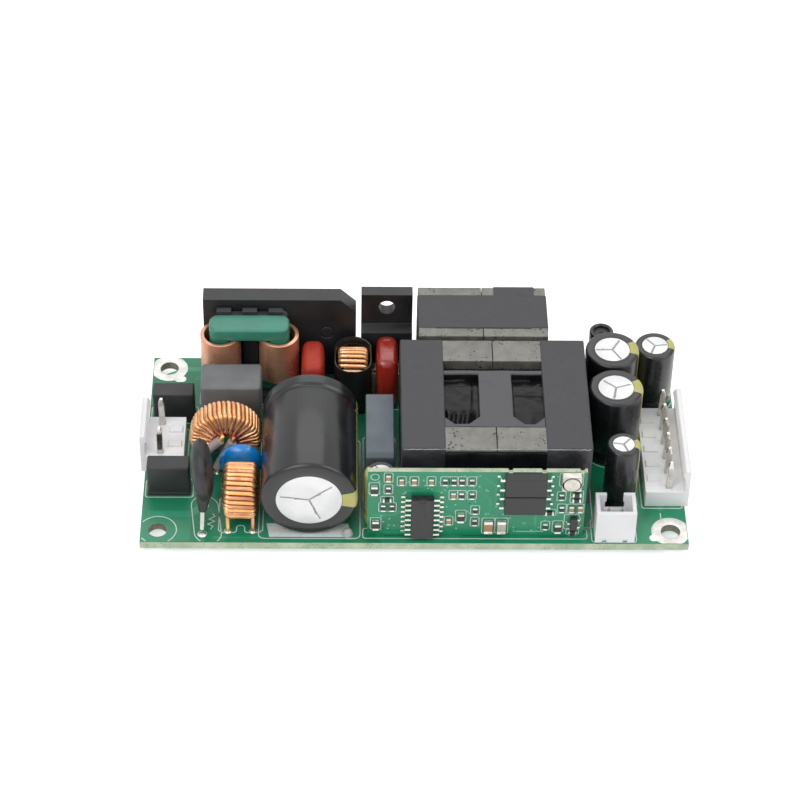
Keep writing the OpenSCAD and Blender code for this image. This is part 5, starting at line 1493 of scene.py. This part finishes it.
class ControlBoard:
    """Upright board with its chips, optocouplers, trimmer and edge contacts."""

    def __init__(self, sizes: ControlSizes = ControlSizes()) -> None:
        self.s = sizes
        self.lo, self.hi = node_box("control_board")
        self.floor = float(node_box("main_board")[1][2])
        self.front = float(self.lo[1])

    def at(self, u: float, z: float) -> tuple[float, float]:
        """Place on the board's face from its left end and the main board's top."""
        return float(self.lo[0]) + u, self.floor + z

    def face(self, shape: Shape) -> Shape:
        """Stands a flat shape drawn in X and Y on the board's front face."""
        return shape.placed((0, self.front, 0), FRONTWARD)

    def line(self, points: np.ndarray, closed: bool = True) -> Shape:
        """Printed line on the front face, its points in X and Z."""
        return self.face(ribbon(np.asarray(points, float), self.s.silk_w, 0.0, self.s.silk_t, closed))

    def chip_boxes(self) -> list[tuple[np.ndarray, np.ndarray]]:
        """Boxes of the chip parts' bodies."""
        return islands("chip_parts")

    def kind(self, lo: np.ndarray, hi: np.ndarray) -> ChipKind:
        """A chip's kind from its place and size."""
        u, z = (lo[0] + hi[0]) / 2 - self.lo[0], (lo[2] + hi[2]) / 2 - self.floor
        wide, tall = hi[0] - lo[0], hi[2] - lo[2]
        if tall > 1.7 and wide > 1.3 and 20 < u < 27:
            return ChipKind.PALE if u > 23.5 else ChipKind.CERAMIC
        if (u < 13 and z > 13.4) or (14 < u < 16 and z < 11) or (36.5 < u < 39.5 and 4.4 < z < 8.4):
            return ChipKind.CERAMIC
        return ChipKind.RESISTOR

    def chips(self) -> None:
        """Bodies of the chip parts, one piece for each kind."""
        shapes: dict[ChipKind, list[Shape]] = {k: [] for k in ChipKind}
        for lo, hi in self.chip_boxes():
            depth = hi[1] - lo[1]
            body = cushion_box(np.array([lo[0], lo[2], 0]), np.array([hi[0], hi[2], depth]),
                               0.06, 0.09, 0.0, 3)
            shapes[self.kind(lo, hi)].append(body.placed((0, hi[1], 0), FRONTWARD))
        finishes = {ChipKind.CERAMIC: CHIP_TAN, ChipKind.PALE: CHIP_PALE, ChipKind.RESISTOR: CHIP_BLACK}
        first = True
        for kind, found in shapes.items():
            if found:
                make_piece("chips_" + kind.value, joined(found), PAINT(finishes[kind]),
                           ("chip_parts",) if first else ())
                first = False

    def metal(self) -> None:
        """Ends and legs in tin, as on the frame, with round edges."""
        bevelled_copy("control_board_contacts", 0.07, PAINT(SOLDER))

    def prints(self) -> Shape:
        """Outlines round the chips, the row of legs and the trimmer."""
        lines = []
        contacts = islands("control_board_contacts")
        for lo, hi in self.chip_boxes():
            mid = (lo + hi) / 2
            near = [b for b in contacts if abs((b[0] + b[1])[0] / 2 - mid[0]) < 1.6
                    and abs((b[0] + b[1])[2] / 2 - mid[2]) < 1.9
                    and (abs((b[0] + b[1])[0] / 2 - mid[0]) < 0.2 or abs((b[0] + b[1])[2] / 2 - mid[2]) < 0.2)]
            a = np.min([lo] + [b[0] for b in near], 0)
            b = np.max([hi] + [c[1] for c in near], 0)
            half = (b - a)[[0, 2]] / 2 + self.s.margin
            centre = (a + b)[[0, 2]] / 2
            bottom = np.maximum(centre - half, [self.lo[0] + 0.25, self.floor + 0.5])
            top = np.minimum(centre + half, [self.hi[0] - 0.25, self.hi[2] - 0.3])
            lines.append(self.line(rounded_loop(*((top - bottom) / 2), 0.25, 3) + (top + bottom) / 2))
        a = np.linspace(0, 2 * math.pi, 33)[:-1]
        ring = np.column_stack([np.cos(a), np.sin(a)])
        lines.append(self.line(ring * 0.75 + self.at(1.35, 15.1)))
        lo, hi = node_box("trimmer_body")
        mid = ((lo + hi) / 2)[[0, 2]]
        place = (min(mid[0], self.hi[0] - 2.4), mid[1] - 0.1)
        lines.append(self.line(rounded_loop(2.15, 1.72, 0.4, 4) + place))
        for u, z, w in ((30, 1.2, 5.0), (27.2, 6.6, 2.4)):
            x, y = self.at(u, z)
            lines.append(self.line([(x - w / 2, y), (x + w / 2, y)], False))
        return joined(lines)

    def vias(self) -> Shape:
        """Small tented holes between the parts, seen as pale dots."""
        rng = np.random.default_rng(11)
        spots = np.column_stack([rng.uniform(1.5, 38.5, 150), rng.uniform(0.8, 15.8, 150)])
        spots = spots + (self.lo[0], self.floor)
        boxes = (islands("chip_parts") + islands("control_board_contacts") + islands("optocouplers")
                 + islands("controller_chip") + [node_box("trimmer_body")])
        lows = np.array([b[0][[0, 2]] for b in boxes]) - 0.45
        highs = np.array([b[1][[0, 2]] for b in boxes]) + 0.45
        clear = ~((spots[:, None] > lows) & (spots[:, None] < highs)).all(-1).any(-1)
        dots = [plate(rounded_loop(0.22, 0.22, 0.22, 4), 0.02, 0.006) for _ in spots[clear]]
        return self.face(joined([d.placed((x, z, 0)) for d, (x, z) in zip(dots, spots[clear])]))

    def traces(self) -> Shape:
        """Covered copper runs between the chips."""
        runs = [([(3, 0.8), (12, 0.8), (14, 2.8), (14, 6.4)], 0.35), ([(1, 5.4), (5, 5.4), (6, 6.4)], 0.35),
                ([(6.5, 11.6), (20.5, 11.6), (22.5, 9.6), (22.5, 6.4)], 0.35),
                ([(21, 15.4), (23.5, 12.9), (23.5, 7.9)], 0.5), ([(26.5, 0.8), (31, 0.8), (31, 6.9)], 0.45),
                ([(33.6, 8.4), (36.4, 8.4), (38.8, 8.4)], 0.3),
                ([(21.5, 5.4), (29.5, 5.4), (30.5, 6.4)], 0.35),
                ([(33.8, 15.2), (33.8, 8)], 0.35)]
        corner = (self.lo[0], self.floor)
        return self.face(joined([ribbon(np.array(p) + corner, w, 0, 0.008) for p, w in runs]))

    def trimmer(self) -> None:
        """Metal trimmer body and its turning disc."""
        bevelled_copy("trimmer_body", 0.2, PAINT(TRIM))
        rotor = bevelled_copy("trimmer_rotor", 0.05, PAINT(TRIM))
        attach(rotor, "trimmer_disc")

    def build(self) -> None:
        """Makes the pieces."""
        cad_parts["control_board"].data.materials.clear()
        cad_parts["control_board"].data.materials.append(PAINT.board("control_board_finish", 1))
        make_piece("control_print", self.prints(), PAINT(SILK))
        make_piece("control_vias", self.vias(), PAINT(VIA))
        make_piece("control_traces", self.traces(), PAINT(TRACE))
        self.chips()
        self.metal()
        bevelled_copy("controller_chip", 0.14, PAINT(CHIP_BLACK))
        bevelled_copy("optocouplers", 0.18, PAINT(CHIP_BLACK))
        self.trimmer()


# ---------------------------------------------------------------- studio

@dataclass
class StudioSizes:
    """Camera and lights; lengths in metres and angles in degrees."""

    target: Vec = (-0.0022915, 0.0134246, 0.0016)
    distance: float = 0.532546
    azimuth: float = 1.478
    elevation: float = 42.908
    roll: float = 1.263
    lens: float = 122.785
    lamps: list[tuple[Vec, float, float]] = field(default_factory=lambda: [
        ((-0.26, -0.34, 0.46), 0.42, 1.5), ((0.38, -0.12, 0.40), 0.34, 0.8), ((0.0, 0.30, 0.50), 0.50,
                                                                              0.9)])


class Studio:
    """Pale floor, soft lamps and the camera."""

    def __init__(self, sizes: StudioSizes = StudioSizes()) -> None:
        self.s = sizes

    def seen_white(self, tree: Tree) -> bpy.types.NodeSocket:
        """1 for rays from the camera, from mirrors and through clear parts."""
        rays = tree.add("ShaderNodeLightPath").outputs
        shine = tree.maths("MAXIMUM", rays["Is Camera Ray"], rays["Is Glossy Ray"])
        return tree.maths("MAXIMUM", shine, rays["Is Transmission Ray"])

    def floor(self) -> None:
        """Large pale floor under the lowest lead."""
        low = CAD_BOUNDS[0][2] - 0.00001
        corners = [(-3, -3, low), (3, -3, low), (3, 3, low), (-3, 3, low)]
        mesh = bpy.data.meshes.new("floor")
        mesh.from_pydata(corners, [], [(0, 1, 2, 3)])
        material, tree, shader = PAINT.blank("floor_white")
        grain = tree.add("ShaderNodeTexNoise", {"Scale": 40.0})
        tree.tree.links.new(tree.mix(grain.outputs[0], (0.90, 0.90, 0.90), (0.92, 0.92, 0.92)),
                            shader.inputs["Base Color"])
        shader.inputs["Roughness"].default_value = 0.8
        shader.inputs["Emission Color"].default_value = (1, 1, 1, 1)
        lift = tree.maths("MULTIPLY", self.seen_white(tree), 0.55)
        tree.tree.links.new(lift, shader.inputs["Emission Strength"])
        mesh.materials.append(material)
        floor = bpy.data.objects.new("floor", mesh)
        bpy.context.scene.collection.objects.link(floor)

    def world(self) -> None:
        """White surroundings: plain light on the object, full white to the camera."""
        world = bpy.data.worlds.new("surroundings")
        bpy.context.scene.world = world
        world.use_nodes = True
        tree = Tree(world.node_tree)
        background = world.node_tree.nodes["Background"]
        background.inputs["Color"].default_value = (1, 1, 1, 1)
        strength = tree.spread(self.seen_white(tree), 0.0, 1.0, 0.42, 1.0)
        tree.tree.links.new(strength, background.inputs["Strength"])

    def lamps(self) -> None:
        """Square soft lamps aimed at the object."""
        for i, (place, size, power) in enumerate(self.s.lamps):
            light = bpy.data.lights.new(f"softbox_{i}", "AREA")
            light.shape = "SQUARE"
            light.size = size
            light.energy = power
            lamp = bpy.data.objects.new(light.name, light)
            lamp.location = place
            aim = np.array(self.s.target) - np.array(place)
            lamp.rotation_euler = self.turned(aim)
            bpy.context.scene.collection.objects.link(lamp)

    @staticmethod
    def turned(aim: np.ndarray) -> tuple[float, float, float]:
        """Rotation that points -Z along a direction."""
        flat = math.hypot(aim[0], aim[1])
        return (math.atan2(flat, -aim[2]), 0.0, math.atan2(-aim[0], aim[1]))

    def camera(self) -> None:
        """Camera at the catalogue view's angle."""
        s = self.s
        a, e, r = (math.radians(v) for v in (s.azimuth, s.elevation, s.roll))
        right = np.array([math.cos(a), -math.sin(a), 0])
        ahead = np.array([math.sin(a) * math.cos(e), math.cos(a) * math.cos(e), -math.sin(e)])
        up = np.cross(right, ahead)
        right, up = (math.cos(r) * right + math.sin(r) * up, -math.sin(r) * right + math.cos(r) * up)
        place = np.array(s.target) - s.distance * ahead
        data = bpy.data.cameras.new("camera")
        data.lens = s.lens
        data.sensor_width = 36
        data.clip_start = 0.01
        camera = bpy.data.objects.new("camera", data)
        camera.matrix_world = Matrix([(*row, p) for row, p in zip(np.array([right, up, -ahead]).T, place)]
                                     + [(0, 0, 0, 1)])
        bpy.context.scene.collection.objects.link(camera)
        bpy.context.scene.camera = camera

    def build(self) -> None:
        """Makes the studio."""
        self.floor()
        self.world()
        self.lamps()
        self.camera()
        bpy.context.scene.view_settings.view_transform = "Standard"


def main() -> None:
    """Builds every sub-assembly and the studio."""
    logging.basicConfig(level=logging.INFO, format="%(message)s")
    for assembly in (MainBoard(), Headers(), MainsSide(), Toroids(), FlatWireChoke(), Capacitors(),
                     PowerDevices(), Transformers(), ControlBoard(), Studio()):
        assembly.build()


if __name__ == "__main__":
    main()
